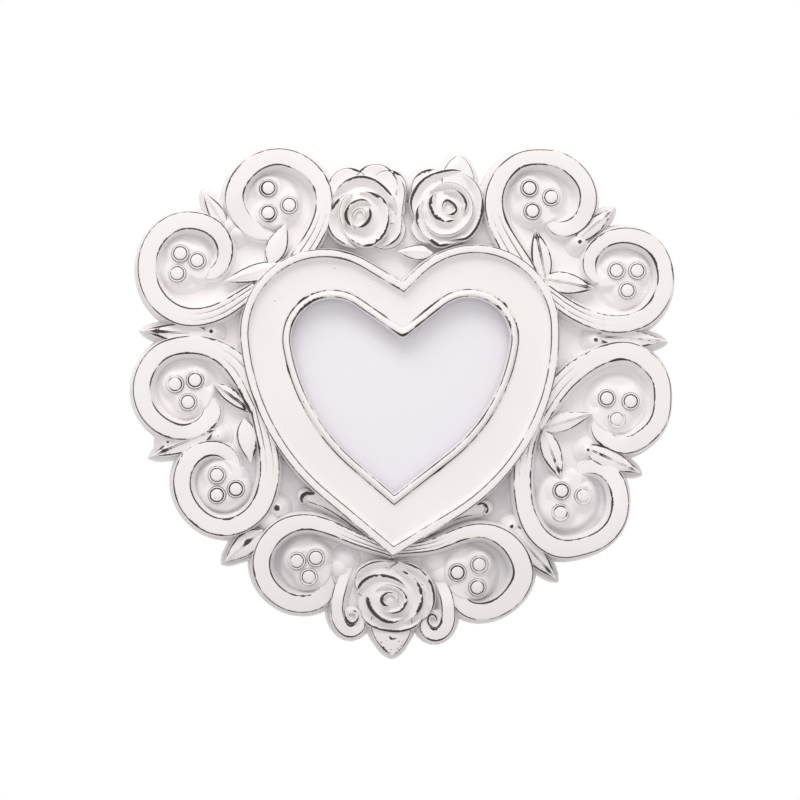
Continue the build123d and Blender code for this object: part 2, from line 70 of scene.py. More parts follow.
# The moulding's profile, as its heart, how far in from it, the depth, and on an arris the width
# of the rub. A mix row has the share of the way from the one heart to the other.
MOULDING_ROWS = [
    ("outer", -1.7, 12.0), ("outer", -0.9, 18.0), ("outer", -0.12, 23.2),
    ("outer", 0.0, 23.65, 0.42), ("outer", 0.4, 23.95), ("outer", 1.1, 24.0), ("outer", 2.0, 24.0),
    ("outer", 2.9, 23.95), ("outer", 3.5, 23.85), ("outer", 3.85, 23.5, 0.42), ("outer", 4.1, 22.7),
    ("outer", 4.35, 21.6), ("outer", 4.9, 20.8), ("outer", 5.8, 20.45), ("outer", 7.2, 20.3),
    ("mix", 0.25, 20.1), ("mix", 0.5, 19.95), ("mix", 0.75, 19.9), ("groove", -2.0, 19.95),
    ("groove", -0.9, 19.95), ("groove", -0.35, 19.8), ("groove", 0.0, 19.55, 0.38),
    ("groove", 0.25, 20.2), ("groove", 0.6, 21.4), ("groove", 1.1, 22.1), ("groove", 1.75, 22.4),
    ("groove", 2.4, 22.4), ("groove", 3.0, 22.15), ("groove", 3.4, 21.7, 0.45),
    ("groove", 3.7, 20.6), ("groove", 3.95, 18.0), ("groove", 4.1, 15.6), ("groove", 3.9, 14.85),
    ("groove", -0.5, 14.85), ("groove", -0.5, 12.0),
]

# Places where the rubbed lines show thicker than elsewhere: place, reach and how much wider
RUBS_PX = [
    (309, 304, 14, 0.75), (322, 299, 9, 0.5), (293, 322, 6, 0.35), (287, 370, 5, 0.4),
    (502, 306, 12, 0.5), (514, 322, 10, 0.5), (431, 310, 12, 0.35), (404, 336, 10, 0.6),
    (418, 327, 8, 0.5), (386, 317, 9, 0.2), (345, 252, 12, 0.3), (410, 289, 8, 0.35),
    (396, 288, 8, 0.3), (439, 469, 7, 0.35), (480, 418, 7, 0.25), (312, 172, 14, 0.2),
    (234, 178, 12, 0.35), (244, 200, 8, 0.3), (310, 190, 12, 0.35), (330, 183, 6, 0.5),
    (262, 187, 9, 0.35), (268, 218, 8, 0.3), (215, 229, 8, 0.3), (205, 286, 8, 0.4),
    (223, 240, 10, 0.25), (232, 255, 8, 0.25), (186, 299, 10, 0.2), (510, 160, 8, 0.2),
    (520, 167, 10, 0.3), (558, 233, 8, 0.5), (588, 216, 9, 0.3), (603, 242, 9, 0.3),
    (657, 258, 9, 0.4), (674, 268, 7, 0.3), (504, 220, 10, 0.4), (489, 230, 8, 0.35),
    (600, 262, 9, 0.25), (655, 300, 8, 0.2), (170, 339, 10, 0.25), (215, 344, 12, 0.3),
    (186, 356, 7, 0.4), (181, 425, 9, 0.3), (168, 437, 12, 0.3), (213, 432, 8, 0.4),
    (188, 453, 10, 0.3), (206, 456, 9, 0.25), (196, 523, 10, 0.4), (177, 494, 8, 0.35),
    (255, 490, 10, 0.2), (228, 517, 7, 0.35), (620, 361, 8, 0.55), (610, 341, 8, 0.25),
    (606, 449, 9, 0.5), (590, 437, 6, 0.3), (655, 432, 9, 0.3), (532, 480, 10, 0.25),
    (572, 462, 6, 0.4), (614, 500, 8, 0.35), (628, 477, 7, 0.3), (617, 530, 8, 0.2),
    (225, 537, 10, 0.35), (256, 575, 8, 0.35), (307, 530, 8, 0.3), (331, 584, 6, 0.3),
    (300, 596, 7, 0.2), (455, 543, 9, 0.3), (472, 549, 6, 0.5), (510, 575, 9, 0.35),
    (490, 605, 8, 0.3), (531, 560, 8, 0.3), (349, 633, 9, 0.4), (435, 638, 11, 0.5),
    (447, 625, 6, 0.35), (361, 618, 5, 0.4), (340, 528, 9, 0.3), (217, 495, 8, 0.3),
    (236, 489, 8, 0.3), (175, 384, 8, 0.25), (195, 380, 8, 0.25), (563, 491, 8, 0.3),
    (562, 513, 8, 0.2), (458, 573, 8, 0.35), (478, 588, 8, 0.15), (531, 186, 8, 0.25),
    (534, 209, 8, 0.25), (553, 195, 7, 0.2), (268, 212, 7, 0.25), (268, 187, 7, 0.15),
    (633, 401, 7, 0.15), (609, 398, 7, 0.15), (158, 331, 11, 0.45), (165, 451, 8, 0.42),
    (608, 214, 8, 0.42), (655, 339, 10, 0.4), (633, 468, 8, 0.38), (550, 571, 7, 0.35),
    (246, 540, 4.5, 1.1), (358, 163, 7, 1.2), (395, 169, 7, 1.2), (425, 168, 8, 1.3),
    (238, 393, 9, 0.6), (249, 406, 8, 0.7), (257, 450, 7, 0.6), (600, 415, 8, 0.4),
    (565, 470, 8, 0.6), (539, 232, 7, 0.5), (590, 284, 7, 0.35), (393, 647, 9, 1.5),
    (459, 156, 6, 0.3), (539, 250, 9, 0.3), (590, 290, 9, 0.3), (556, 460, 9, 0.25),
]
# Places where the lines are painted over: place and reach
COVERED_PX = [
    (236, 208, 14), (252, 235, 14), (254, 222, 11), (332, 222, 13), (160, 268, 12), (143, 306, 10),
    (268, 545, 8), (196, 335, 8), (150, 395, 9), (676, 290, 10), (597, 607, 8), (300, 248, 8),
]

# Each scroll: the eye and its reach, the berries, and the band from the heart to the curl, as
# places on its middle line with its width there
SCROLLS_PX = {
    "top_left": {
        "eye": (272, 200, 24), "berries": [(268, 187), (289, 204), (268, 212)],
        "band": [(297, 262, 18), (315, 234, 17), (324, 206, 16), (321, 184, 16), (310, 169, 17),
                 (294, 159, 17), (275, 156, 16), (255, 163, 17), (240, 178, 18), (234, 197, 18),
                 (239, 214, 18), (250, 227, 16), (264, 234, 12), (277, 235, 9)],
    },
    "upper_left": {
        "eye": (184, 262, 25), "berries": [(180, 253), (197, 260), (177, 273)],
        "band": [(250, 292, 13), (226, 308, 16), (205, 316, 17), (183, 316, 18), (164, 306, 18),
                 (151, 288, 18), (147, 268, 18), (151, 247, 18), (163, 230, 18), (180, 221, 17),
                 (198, 221, 17), (214, 228, 17), (224, 243, 16), (223, 261, 14), (212, 273, 13),
                 (198, 274, 12)],
    },
    "middle_left": {
        "eye": (186, 389, 26), "berries": [(175, 384), (195, 380), (188, 402)],
        "band": [(256, 400, 22), (240, 369, 24), (222, 353, 20), (204, 346, 18), (184, 345, 17),
                 (163, 351, 17), (148, 367, 17), (142, 390, 17), (148, 411, 17), (163, 426, 17),
                 (184, 432, 15), (202, 426, 16), (212, 411, 18), (207, 396, 16)],
    },
    "lower_left": {
        "eye": (223, 485, 23), "berries": [(217, 475), (236, 489), (217, 495)],
        "band": [(260, 414, 16), (268, 448, 18), (270, 471, 19), (267, 490, 19), (260, 507, 19),
                 (247, 520, 18), (229, 527, 17), (210, 524, 17), (194, 512, 17), (184, 494, 17),
                 (183, 475, 17), (191, 458, 17), (206, 449, 15), (222, 450, 14), (233, 460, 13),
                 (238, 474, 12)],
    },
    "bottom_left": {
        "eye": (307, 566, 24), "berries": [(297, 561), (316, 558), (309, 577)],
        "band": [(386, 550, 8), (355, 538, 12), (329, 527, 14), (305, 522, 15), (285, 527, 17),
                 (270, 540, 17), (262, 558, 17), (264, 577, 17), (274, 592, 17), (290, 602, 17),
                 (306, 604, 17), (321, 599, 16), (328, 586, 15), (324, 572, 14)],
    },
    "top_right": {
        "eye": (539, 197, 25), "berries": [(531, 186), (553, 195), (534, 209)],
        "band": [(522, 264, 22), (504, 233, 19), (495, 207, 18), (497, 186, 17), (507, 169, 16),
                 (522, 158, 15), (542, 155, 15), (561, 158, 16), (577, 168, 16), (588, 184, 16),
                 (590, 201, 17), (584, 217, 17), (571, 226, 16), (557, 225, 14), (549, 216, 13)],
    },
    "upper_right": {
        "eye": (628, 276, 26), "berries": [(619, 269), (640, 269), (630, 289)],
        "band": [(551, 293, 13), (568, 306, 15), (589, 317, 16), (611, 323, 17), (632, 322, 17),
                 (650, 314, 17), (662, 300, 17), (668, 281, 16), (666, 262, 16), (657, 246, 16),
                 (641, 236, 16), (622, 234, 15), (605, 240, 14), (594, 253, 14), (593, 269, 13),
                 (602, 281, 12)],
    },
    "middle_right": {
        "eye": (620, 405, 27), "berries": [(609, 398), (633, 401), (619, 419)],
        "band": [(540, 418, 18), (557, 391, 20), (575, 372, 20), (593, 360, 18), (612, 352, 18),
                 (632, 351, 18), (650, 361, 18), (662, 377, 17), (665, 398, 17), (661, 420, 17),
                 (648, 436, 17), (630, 445, 17), (611, 441, 15), (600, 428, 14), (602, 414, 13)],
    },
    "lower_right": {
        "eye": (570, 500, 27), "berries": [(563, 491), (585, 496), (562, 513)],
        "band": [(540, 412, 14), (529, 438, 16), (524, 462, 17), (523, 483, 17), (525, 504, 17),
                 (532, 525, 18), (545, 541, 18), (562, 549, 18), (583, 547, 17), (603, 539, 17),
                 (618, 522, 17), (622, 502, 17), (618, 482, 17), (606, 469, 16), (591, 467, 15),
                 (580, 475, 14)],
    },
    "bottom_right": {
        "eye": (471, 575, 24), "berries": [(458, 573), (480, 565), (478, 588)],
        "band": [(400, 550, 8), (436, 544, 12), (462, 534, 13), (485, 531, 14), (505, 539, 17),
                 (519, 555, 19), (524, 574, 20), (517, 592, 20), (502, 606, 18), (484, 612, 17),
                 (468, 609, 16), (459, 597, 15), (461, 584, 14)],
    },
}

# Leaves and darts: the base, the tip, the greatest width, the crease, and for some the power of
# a blunter tip. The shares place the handles of their curves along the leaf and out from its
# middle.
LEAF_SHARES = ((0.3, 1.75), (0.74, 0.75))
LEAF_PAIRS_PX = {
    "leaves_top_left": [((269, 264), (286, 222), 21, 0.0), ((285, 264), (223, 281), 18, 0.2)],
    "leaves_top_right": [((548, 280), (537, 227), 20, 1.0), ((543, 277), (597, 287), 22, 1.0)],
    "leaves_middle_left": [((214, 383), (257, 415), 14, 1.0), ((244, 418), (251, 463), 20, 0.0)],
    "leaves_middle_right": [((543, 429), (594, 413), 18, 1.0), ((545, 430), (563, 479), 20, 0.3)],
}
LEAVES_PX = {
    "top_leaf": [((458, 196), (460, 153), 33, 0.0, 0.64)],
    "centre_leaf": [((434, 252), (398, 250), 15, 0.3)],
    "bottom_leaf": [((391, 600), (393, 656), 42, 0.0, 0.72)],
}
DARTS_PX = {
    "dart_top_left": [((226, 228), (203, 191), 15, 0.4)],
    "dart_upper_left": [((214, 335), (143, 330), 19, 0.4)],
    "dart_lower_left": [((216, 429), (152, 456), 20, 0.4)],
    "dart_bottom_left": [((263, 530), (225, 562), 22, 0.4)],
    "dart_top_right": [((577, 240), (617, 206), 17, 0.4)],
    "dart_upper_right": [((597, 335), (669, 340), 19, 0.4)],
    "dart_lower_right": [((584, 446), (643, 473), 20, 0.4)],
    "dart_bottom_right": [((508, 524), (558, 580), 22, 0.4)],
}

# Small scrolls beside the lower rose and curled buds on the heart's flanks. A rim is places with
# the width of the rub there.
VOLUTES_PX = {
    "volute_left": {
        "eye": (351, 619),
        "band": [(347, 572, 10), (340, 590, 12), (337, 609, 12), (341, 625, 12), (351, 632, 12),
                 (360, 626, 11), (358, 616, 9)],
        "rim": [(345, 608, .2), (345, 615, .4), (348, 622, .5), (353, 624, .5), (358, 620, .4),
                (358, 614, .4), (354, 611, .5), (350, 614, .5), (350, 618, .4)],
    },
    "volute_right": {
        "eye": (436, 622),
        "band": [(439, 580, 10), (446, 594, 12), (449, 611, 13), (446, 629, 13), (435, 636, 12),
                 (426, 629, 11), (429, 619, 9)],
        "rim": [(440, 611, .2), (442, 617, .3), (441, 624, .3), (436, 628, .3), (430, 626, .4),
                (428, 620, .4), (431, 615, .4), (436, 616, .4), (437, 621, .35), (434, 623, .2)],
    },
}
BUDS_PX = {
    "bud_left": {
        "eye": (305, 496),
        "band": [(357, 526, 6), (338, 511, 8), (321, 501, 10), (307, 496, 11)],
        "rim": [(317, 495, .2), (311, 493, .6), (305, 493, .8), (301, 497, .9), (302, 502, .6),
                (306, 504, .2)],
    },
    "bud_right": {
        "eye": (487, 508),
        "band": [(420, 532, 6), (436, 527, 7), (452, 518, 8), (470, 511, 10), (486, 508, 11)],
        "rim": [(473, 507, .2), (479, 504, .5), (485, 504, .8), (489, 508, .9), (488, 513, .8),
                (484, 514, .4)],
    },
}

# Each rose: its eye, its main round, the rounds of the petals behind, and the rims of the petals
# in front, from the outermost: their height over the ground, how wide they slope to the eye, and
# the places along the rim with the width of the rub there
ROSES_PX = {
    "rose_left": {
        "eye": (360, 215), "ring": (362, 212, 32),
        "petals": [(349, 187, 21), (376, 184, 22), (389, 186, 18), (391, 207, 15), (386, 228, 20)],
        "rims": [
            (7.6, 5.0, [(396, 172, .1), (404, 184, .2), (404, 200, .1), (402, 216, .2),
                (399, 236, .35), (391, 243, .4), (378, 247, .1)]),
            (8.4, 5.5, [(333, 194, .1), (339, 186, .3), (347, 179, .5), (362, 175, .6),
                (376, 179, .5), (387, 188, .6), (395, 200, .2), (397, 212, .1)]),
            (8.6, 5.0, [(347, 192, .1), (338, 199, .7), (330, 212, .5), (328, 224, .35),
                (334, 236, .3), (344, 243, .3), (356, 247, .1)]),
            (9.8, 5.0, [(343, 228, .1), (350, 238, .4), (359, 244, .7), (369, 245, .8),
                (379, 240, .8), (386, 231, .7), (389, 219, .3), (388, 208, .2), (384, 199, .7),
                (377, 194, .8), (369, 191, .6), (360, 191, .1)]),
            (9.9, 4.0, [(352, 192, .1), (344, 198, .1), (340, 207, .1), (340, 218, .1),
                (344, 229, .1)]),
            (10.9, 3.5, [(371, 203, .2), (364, 199, .4), (356, 200, .4), (348, 206, .6),
                (345, 215, .8), (348, 223, .6), (355, 229, .2)]),
            (11.1, 3.0, [(368, 205, .1), (371, 212, .6), (370, 219, .7), (365, 225, .7),
                (358, 227, .2), (353, 224, .1)]),
            (11.5, 2.5, [(353, 219, .1), (353, 213, .2), (357, 209, .2), (363, 209, .1),
                (366, 214, .1), (365, 219, .1)]),
        ],
    },
    "rose_right": {
        "eye": (450, 206), "ring": (449, 208, 35),
        "petals": [(432, 187, 20), (455, 185, 19), (468, 196, 16), (428, 226, 16)],
        "rims": [
            (7.8, 5.5, [(420, 222, .1), (413, 211, .2), (411, 200, .5), (414, 190, .7),
                (421, 180, .6), (431, 173, .5), (444, 169, .55), (457, 168, .4), (468, 171, .1)]),
            (8.2, 5.0, [(456, 168, .1), (468, 174, .15), (478, 183, .2), (483, 196, .2),
                (484, 208, .7), (480, 222, .6), (474, 232, .55), (466, 238, .5), (456, 239, .4),
                (446, 240, .1)]),
            (8.9, 5.0, [(423, 199, .1), (418, 207, .3), (417, 219, .9), (422, 231, .7),
                (431, 240, .8), (441, 245, .8), (448, 244, .5), (457, 241, .1)]),
            (10.0, 4.5, [(424, 210, .1), (427, 224, .1), (437, 233, .1), (450, 234, .1),
                (463, 228, .1), (472, 216, .1), (473, 202, .1), (467, 190, .1), (455, 182, .1),
                (441, 183, .1), (430, 190, .1)]),
            (10.8, 4.0, [(436, 191, .3), (431, 197, .5), (430, 205, .9), (433, 213, .8),
                (439, 219, .8), (448, 221, .6), (458, 218, .1)]),
            (10.7, 3.5, [(444, 190, .1), (455, 189, .1), (463, 194, .5), (467, 203, .6),
                (464, 213, .1)]),
            (11.5, 2.5, [(443, 210, .1), (443, 203, .2), (447, 199, .7), (452, 201, .6),
                (456, 205, .6), (457, 210, .6), (452, 214, .5), (447, 213, .3)]),
        ],
    },
    "rose_bottom": {
        "eye": (390, 599), "ring": (391, 598, 33),
        "petals": [(374, 582, 19), (406, 584, 22), (414, 603, 20), (390, 614, 18)],
        "rims": [
            (7.0, 5.0, [(356, 582, .1), (358, 572, .2), (365, 566, .3), (375, 562, .35),
                (386, 562, .1), (396, 563, .1)]),
            (7.2, 5.0, [(398, 562, .3), (412, 565, .4), (424, 573, .5), (432, 584, .6),
                (435, 597, .5), (433, 609, .3), (427, 618, .1)]),
            (7.4, 5.0, [(362, 614, .1), (366, 622, .3), (378, 629, .5), (392, 632, .6),
                (406, 631, .5), (418, 625, .3), (424, 616, .1)]),
            (8.8, 5.0, [(357, 594, .2), (359, 586, .6), (365, 579, .7), (377, 575, .7),
                (389, 576, .6), (400, 581, .4), (407, 588, .1)]),
            (8.6, 5.0, [(396, 570, .1), (405, 572, .6), (413, 577, .7), (420, 586, .8),
                (423, 596, .9), (421, 608, .8), (414, 617, .5), (403, 624, .2)]),
            (9.6, 4.5, [(368, 590, .1), (367, 598, .8), (369, 607, .9), (376, 616, .8),
                (386, 622, .8), (396, 622, .5), (405, 617, .2)]),
            (10.3, 4.0, [(376, 590, .1), (384, 585, .1), (395, 586, .1), (403, 591, .3),
                (407, 599, .8), (405, 607, .8), (399, 612, .5), (391, 613, .4), (383, 611, .1)]),
            (11.4, 2.5, [(391, 605, .3), (384, 605, .6), (381, 600, .8), (384, 594, .7),
                (391, 592, .4), (397, 595, .3), (398, 601, .3), (395, 604, .2)]),
        ],
    },
}


def spot(place_px):
    """A place on the front, from its pixel in the photograph."""
    return np.array([(place_px[0] - HANG_PX[0]) * PIXEL, (HANG_PX[1] - place_px[1]) * PIXEL])


def heading(angle):
    """The unit vector at an angle, or one for each of several angles."""
    turned = np.radians(angle)
    return np.stack([np.cos(turned), np.sin(turned)], axis=-1)


def crossing(place, along, other_place, other_along):
    """Where two lines cross."""
    gap = other_place - place
    run = (gap[0] * other_along[1] - gap[1] * other_along[0]) / (
        along[0] * other_along[1] - along[1] * other_along[0])
    return place + along * run


def half_heart(turn, notch, tip, radius, run, angles, straight_share):
    """One half of a heart: where its lobe and its flank turn, and how far."""
    slope, lobe_sweep = angles
    start_angle = 90 + turn * (90 - slope)
    end_angle = start_angle + turn * (lobe_sweep - 90)
    lobe_start = notch + heading(start_angle) * run
    lobe_centre = lobe_start + heading(start_angle + turn * 90) * radius
    reach = tip - lobe_centre - heading(end_angle) * radius
    flank_radius = reach @ reach * (1 - straight_share**2) / (-2 * (reach @ heading(end_angle)))
    flank_centre = lobe_centre - heading(end_angle) * (flank_radius - radius)
    to_tip = tip - flank_centre
    spread = math.degrees(math.acos(flank_radius / np.linalg.norm(to_tip)))
    last_angle = math.degrees(math.atan2(to_tip[1], to_tip[0])) - turn * spread
    return {
        "turn": turn, "start_angle": start_angle, "end_angle": end_angle, "lobe_radius": radius,
        "lobe_centre": lobe_centre, "lobe_sweep": turn * lobe_sweep, "flank_radius": flank_radius,
        "flank_centre": flank_centre,
        "flank_sweep": turn * ((turn * (last_angle - end_angle)) % 360),
    }


def heart_halves(heart):
    """A heart's two halves, the left one first."""
    notch = spot(NOTCH_PX) - np.array([0, heart["drop"]])
    tip = notch - np.array([heart["tip_shift"], heart["height"]])
    facts = zip(heart["runs"], heart["angles"], heart["straight_shares"])
    return [half_heart(turn, notch, tip, heart["radius"], *half)
            for turn, half in zip((1, -1), facts)]


def corner(place, first, second, radius):
    """A rounded corner between two lines that leave a place."""
    half_angle = math.acos(np.clip(first @ second, -1, 1)) / 2
    middle = (first + second) / np.linalg.norm(first + second)
    centre = place + middle * (radius / math.sin(half_angle))
    start = place + first * (radius / math.tan(half_angle)) - centre
    end = place + second * (radius / math.tan(half_angle)) - centre
    turn = math.atan2(start[0] * end[1] - start[1] * end[0], start @ end)
    angles = math.atan2(start[1], start[0]) + np.linspace(0, turn, CORNER_STEPS)
    return centre + radius * np.stack([np.cos(angles), np.sin(angles)], axis=-1)


def heart_loop(halves, inset, notch_radius, tip_radius):
    """A heart's closed line, drawn in by an inset, with its notch and its tip rounded."""
    sides = []
    for half in halves:
        lobe_angles = half["start_angle"] - half["turn"] * 90 + np.linspace(
            0, half["lobe_sweep"], LOBE_STEPS)
        lobe = half["lobe_centre"] + heading(lobe_angles) * (half["lobe_radius"] - inset)
        flank_angles = half["end_angle"] + np.linspace(0, half["flank_sweep"], FLANK_STEPS)
        flank = half["flank_centre"] + heading(flank_angles) * (half["flank_radius"] - inset)
        last = flank_angles[-1] + half["turn"] * 90
        sides.append((lobe, flank, heading(half["start_angle"]), heading(last)))
    (lobe, flank, rise, fall), (other_lobe, other_flank, other_rise, other_fall) = sides
    notch = crossing(lobe[0], rise, other_lobe[0], other_rise)
    tip = crossing(flank[-1], fall, other_flank[-1], other_fall)
    top = corner(notch, other_rise, rise, notch_radius)
    bottom = corner(tip, -fall, -other_fall, tip_radius)
    run_shares = np.linspace(0, 1, RUN_STEPS + 2)[1:-1, None]
    return np.concatenate([
        top, top[-1] + (lobe[0] - top[-1]) * run_shares, lobe, flank[1:],
        flank[-1] + (bottom[0] - flank[-1]) * run_shares, bottom,
        bottom[-1] + (other_flank[-1] - bottom[-1]) * run_shares, other_flank[:0:-1],
        other_lobe[::-1], other_lobe[0] + (top[0] - other_lobe[0]) * run_shares,
    ])


def spline(values, stations, at):
    """A natural cubic spline through the values at the stations."""
    count = len(stations)
    step = np.diff(stations)
    system, right = np.eye(count), np.zeros_like(values)
    for i in range(1, count - 1):
        system[i, i - 1:i + 2] = step[i - 1], 2 * (step[i - 1] + step[i]), step[i]
        slopes = (values[i] - values[i - 1]) / step[i - 1], (values[i + 1] - values[i]) / step[i]
        right[i] = 6 * (slopes[1] - slopes[0])
    bend = np.linalg.solve(system, right)
    k = np.clip(np.searchsorted(stations, at, side="right") - 1, 0, count - 2)
    h, a, b = step[k], (stations[k + 1] - at) / step[k], (at - stations[k]) / step[k]
    if values.ndim > 1:
        h, a, b = h[:, None], a[:, None], b[:, None]
    return (a * values[k] + b * values[k + 1]
            + ((a**3 - a) * bend[k] + (b**3 - b) * bend[k + 1]) * h**2 / 6)


def smooth(value, low, high):
    """0 below low, 1 above high, and a smooth step between."""
    share = np.clip((value - low) / (high - low), 0, 1)
    return share * share * (3 - 2 * share)


def ribbon(points_px, step):
    """Stations along a line of places that each have a value: the middle, the side vectors, the
    shares of the length and the values."""
    places = np.array([spot(point) for point in points_px])
    chords = np.concatenate([[0], np.cumsum(np.linalg.norm(np.diff(places, axis=0), axis=1))])
    count = max(8, int(chords[-1] / step))
    at = np.linspace(0, chords[-1], count)
    middle = spline(places, chords, at)
    along = np.gradient(middle, at, axis=0)
    along /= np.linalg.norm(along, axis=1, keepdims=True)
    across = np.stack([-along[:, 1], along[:, 0]], axis=-1)
    return middle, across, at / chords[-1], np.interp(at, chords, [point[2] for point in points_px])


class Shape:
    """Closed shells that become one mesh. Each vertex knows how far it is from the nearest arris
    and how wide the paint is rubbed off that arris, both in mm."""

    def __init__(self):
        self.places, self.faces, self.edges, self.rubs = [], [], [], []
        self.count = 0

    def add(self, rings, edge, rub, loop=False):
        """Rings of equal size, each a closed line, joined one to the next. The first and the last
        are capped, or joined to each other in a loop."""
        number, size = rings.shape[:2]
        self.places.append(rings.reshape(-1, 3))
        self.edges.append(np.broadcast_to(edge, (number, size)).ravel())
        self.rubs.append(np.broadcast_to(rub, (number, size)).ravel())
        index = np.arange(number * size).reshape(number, size) + self.count
        ahead = np.roll(index, -1, axis=0) if loop else index[1:]
        behind = index if loop else index[:-1]
        sides = [behind, np.roll(behind, -1, axis=1), np.roll(ahead, -1, axis=1), ahead]
        quads = np.stack(sides, axis=-1)
        self.faces.extend(quads.reshape(-1, 4).tolist())
        if not loop:
            self.faces.extend([index[0, ::-1].tolist(), index[-1].tolist()])
        self.count += number * size


def lifted(plan, depth):
    """Points in the frame's axes, in mm, from places on the front and depths from the wall."""
    depth = np.broadcast_to(depth, plan.shape[:-1])
    return np.stack([plan[..., 0], -depth, plan[..., 1]], axis=-1)


def rubbed(plan, rub):
    """How wide the rubbed line is at each place: more near the places where it shows thick."""
    wide = np.full(plan.shape[:-1], float(rub))
    for x_px, y_px, reach_px, more in RUBS_PX:
        apart = np.linalg.norm(plan - spot((x_px, y_px)), axis=-1) / (reach_px * PIXEL)
        wide = np.maximum(wide, rub + more * np.exp(-apart**2))
    for x_px, y_px, reach_px in COVERED_PX:
        apart = np.linalg.norm(plan - spot((x_px, y_px)), axis=-1) / (reach_px * PIXEL)
        wide = wide * (1 - np.exp(-apart**4))
    return wide


def added(name, data):
    """A new object in the scene."""
    item = bpy.data.objects.new(name, data)
    bpy.context.scene.collection.objects.link(item)
    return item


def make(name, shape, node, material):
    """The mesh piece of a shape. It stands for a CAD node, if one is named."""
    mesh = bpy.data.meshes.new(name)
    places = np.concatenate(shape.places) * MM
    mesh.from_pydata(places.tolist(), [], shape.faces)
    work = bmesh.new()
    work.from_mesh(mesh)
    bmesh.ops.recalc_face_normals(work, faces=work.faces)
    work.to_mesh(mesh)
    work.free()
    for label, parts in (("edge_mm", shape.edges), ("rub_mm", shape.rubs)):
        attribute = mesh.attributes.new(label, "FLOAT", "POINT")
        attribute.data.foreach_set("value", np.concatenate(parts).astype(np.float32))
    mesh.shade_smooth()
    mesh.materials.append(material)
    piece = added(name, mesh)
    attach(piece, "root")
    if node:
        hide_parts(node)


def worn_rows(rings, marks):
    """How far each vertex is from the nearest ring with a mark, and how wide that is rubbed."""
    edge, wide = np.full(rings.shape[:2], NO_ARRIS), np.zeros(rings.shape[:2])
    for ring, mark in zip(rings, marks):
        if not mark:
            continue
        apart = np.linalg.norm(rings - ring, axis=2)
        wide = np.where(apart < edge, rubbed(ring[:, [0, 2]], *mark), wide)
        edge = np.minimum(edge, apart)
    return edge, wide


def full_round(count):
    """Unit vectors all the way round."""
    return heading(np.linspace(0, 360, count, endpoint=False))


HEARTS = {"outer": OUTER, "groove": GROOVE}
# The groove fades out where the flat runs into the bead at the notch: the place, the distances
# from it where the line is gone and whole, and the depth behind which that holds
FADE_PX = (401, 318)
FADE_REACH = (4.5, 8.0)
FADE_DEPTH = 20.6


def moulding(paint):
    """The heart's rim, flat face and bead, with the rebate behind."""
    halves = {kind: heart_halves(heart) for kind, heart in HEARTS.items()}

    def line(kind, inset):
        return heart_loop(halves[kind], inset, *HEARTS[kind]["rounding"])

    last_outer = [row for row in MOULDING_ROWS if row[0] == "outer"][-1]
    first_groove = [row for row in MOULDING_ROWS if row[0] == "groove"][0]
    rings, marks = [], []
    for kind, value, depth, *mark in MOULDING_ROWS:
        if kind == "mix":
            outer, groove = line("outer", last_outer[1]), line("groove", first_groove[1])
            plan = (1 - value) * outer + value * groove
        else:
            plan = line(kind, value)
        rings.append(lifted(plan, depth))
        marks.append(mark)
    rings = np.array(rings)
    edge, wide = worn_rows(rings, marks)
    notch = np.linalg.norm(rings[..., [0, 2]] - spot(FADE_PX), axis=2)
    on_groove = np.array([row[0] != "outer" for row in MOULDING_ROWS])[:, None]
    shallow = on_groove & (rings[..., 1] > -FADE_DEPTH)
    wide = np.where(shallow, wide * smooth(notch, *FADE_REACH), wide)
    shape = Shape()
    shape.add(rings, edge, wide, loop=True)
    make("carved_moulding", shape, "heart_moulding", paint)


# How far in from its outer arris things count as under the moulding, and the greatest depth that
# they have there
UNDER_INSET = 1.4
UNDER_DEPTH = 18.5
HEART_EDGE = heart_loop(heart_halves(OUTER), UNDER_INSET, *OUTER["rounding"])


def under_heart(plan):
    """Which places lie under the moulding."""
    start, end = HEART_EDGE, np.roll(HEART_EDGE, -1, axis=0)
    x, z = plan[..., 0, None], plan[..., 1, None]
    spans = (start[:, 1] > z) != (end[:, 1] > z)
    rise = np.where(end[:, 1] == start[:, 1], 1.0, end[:, 1] - start[:, 1])
    crossed = spans & (x < start[:, 0] + (z - start[:, 1]) * (end[:, 0] - start[:, 0]) / rise)
    return crossed.sum(axis=-1) % 2 == 1


# The places across a band's face, the rows of its profile that lie in the outer grooves of its
# tail, how deep those grooves are, how wide the faint lines in them, and the stations' spacing
BAND_SHARES = np.linspace(-0.86, 0.86, 15)
GROOVE_ROWS = (10, 16)
GROOVE_DEEP = 0.34
GROOVE_LINE = 0.19
BAND_STEP = 1.1


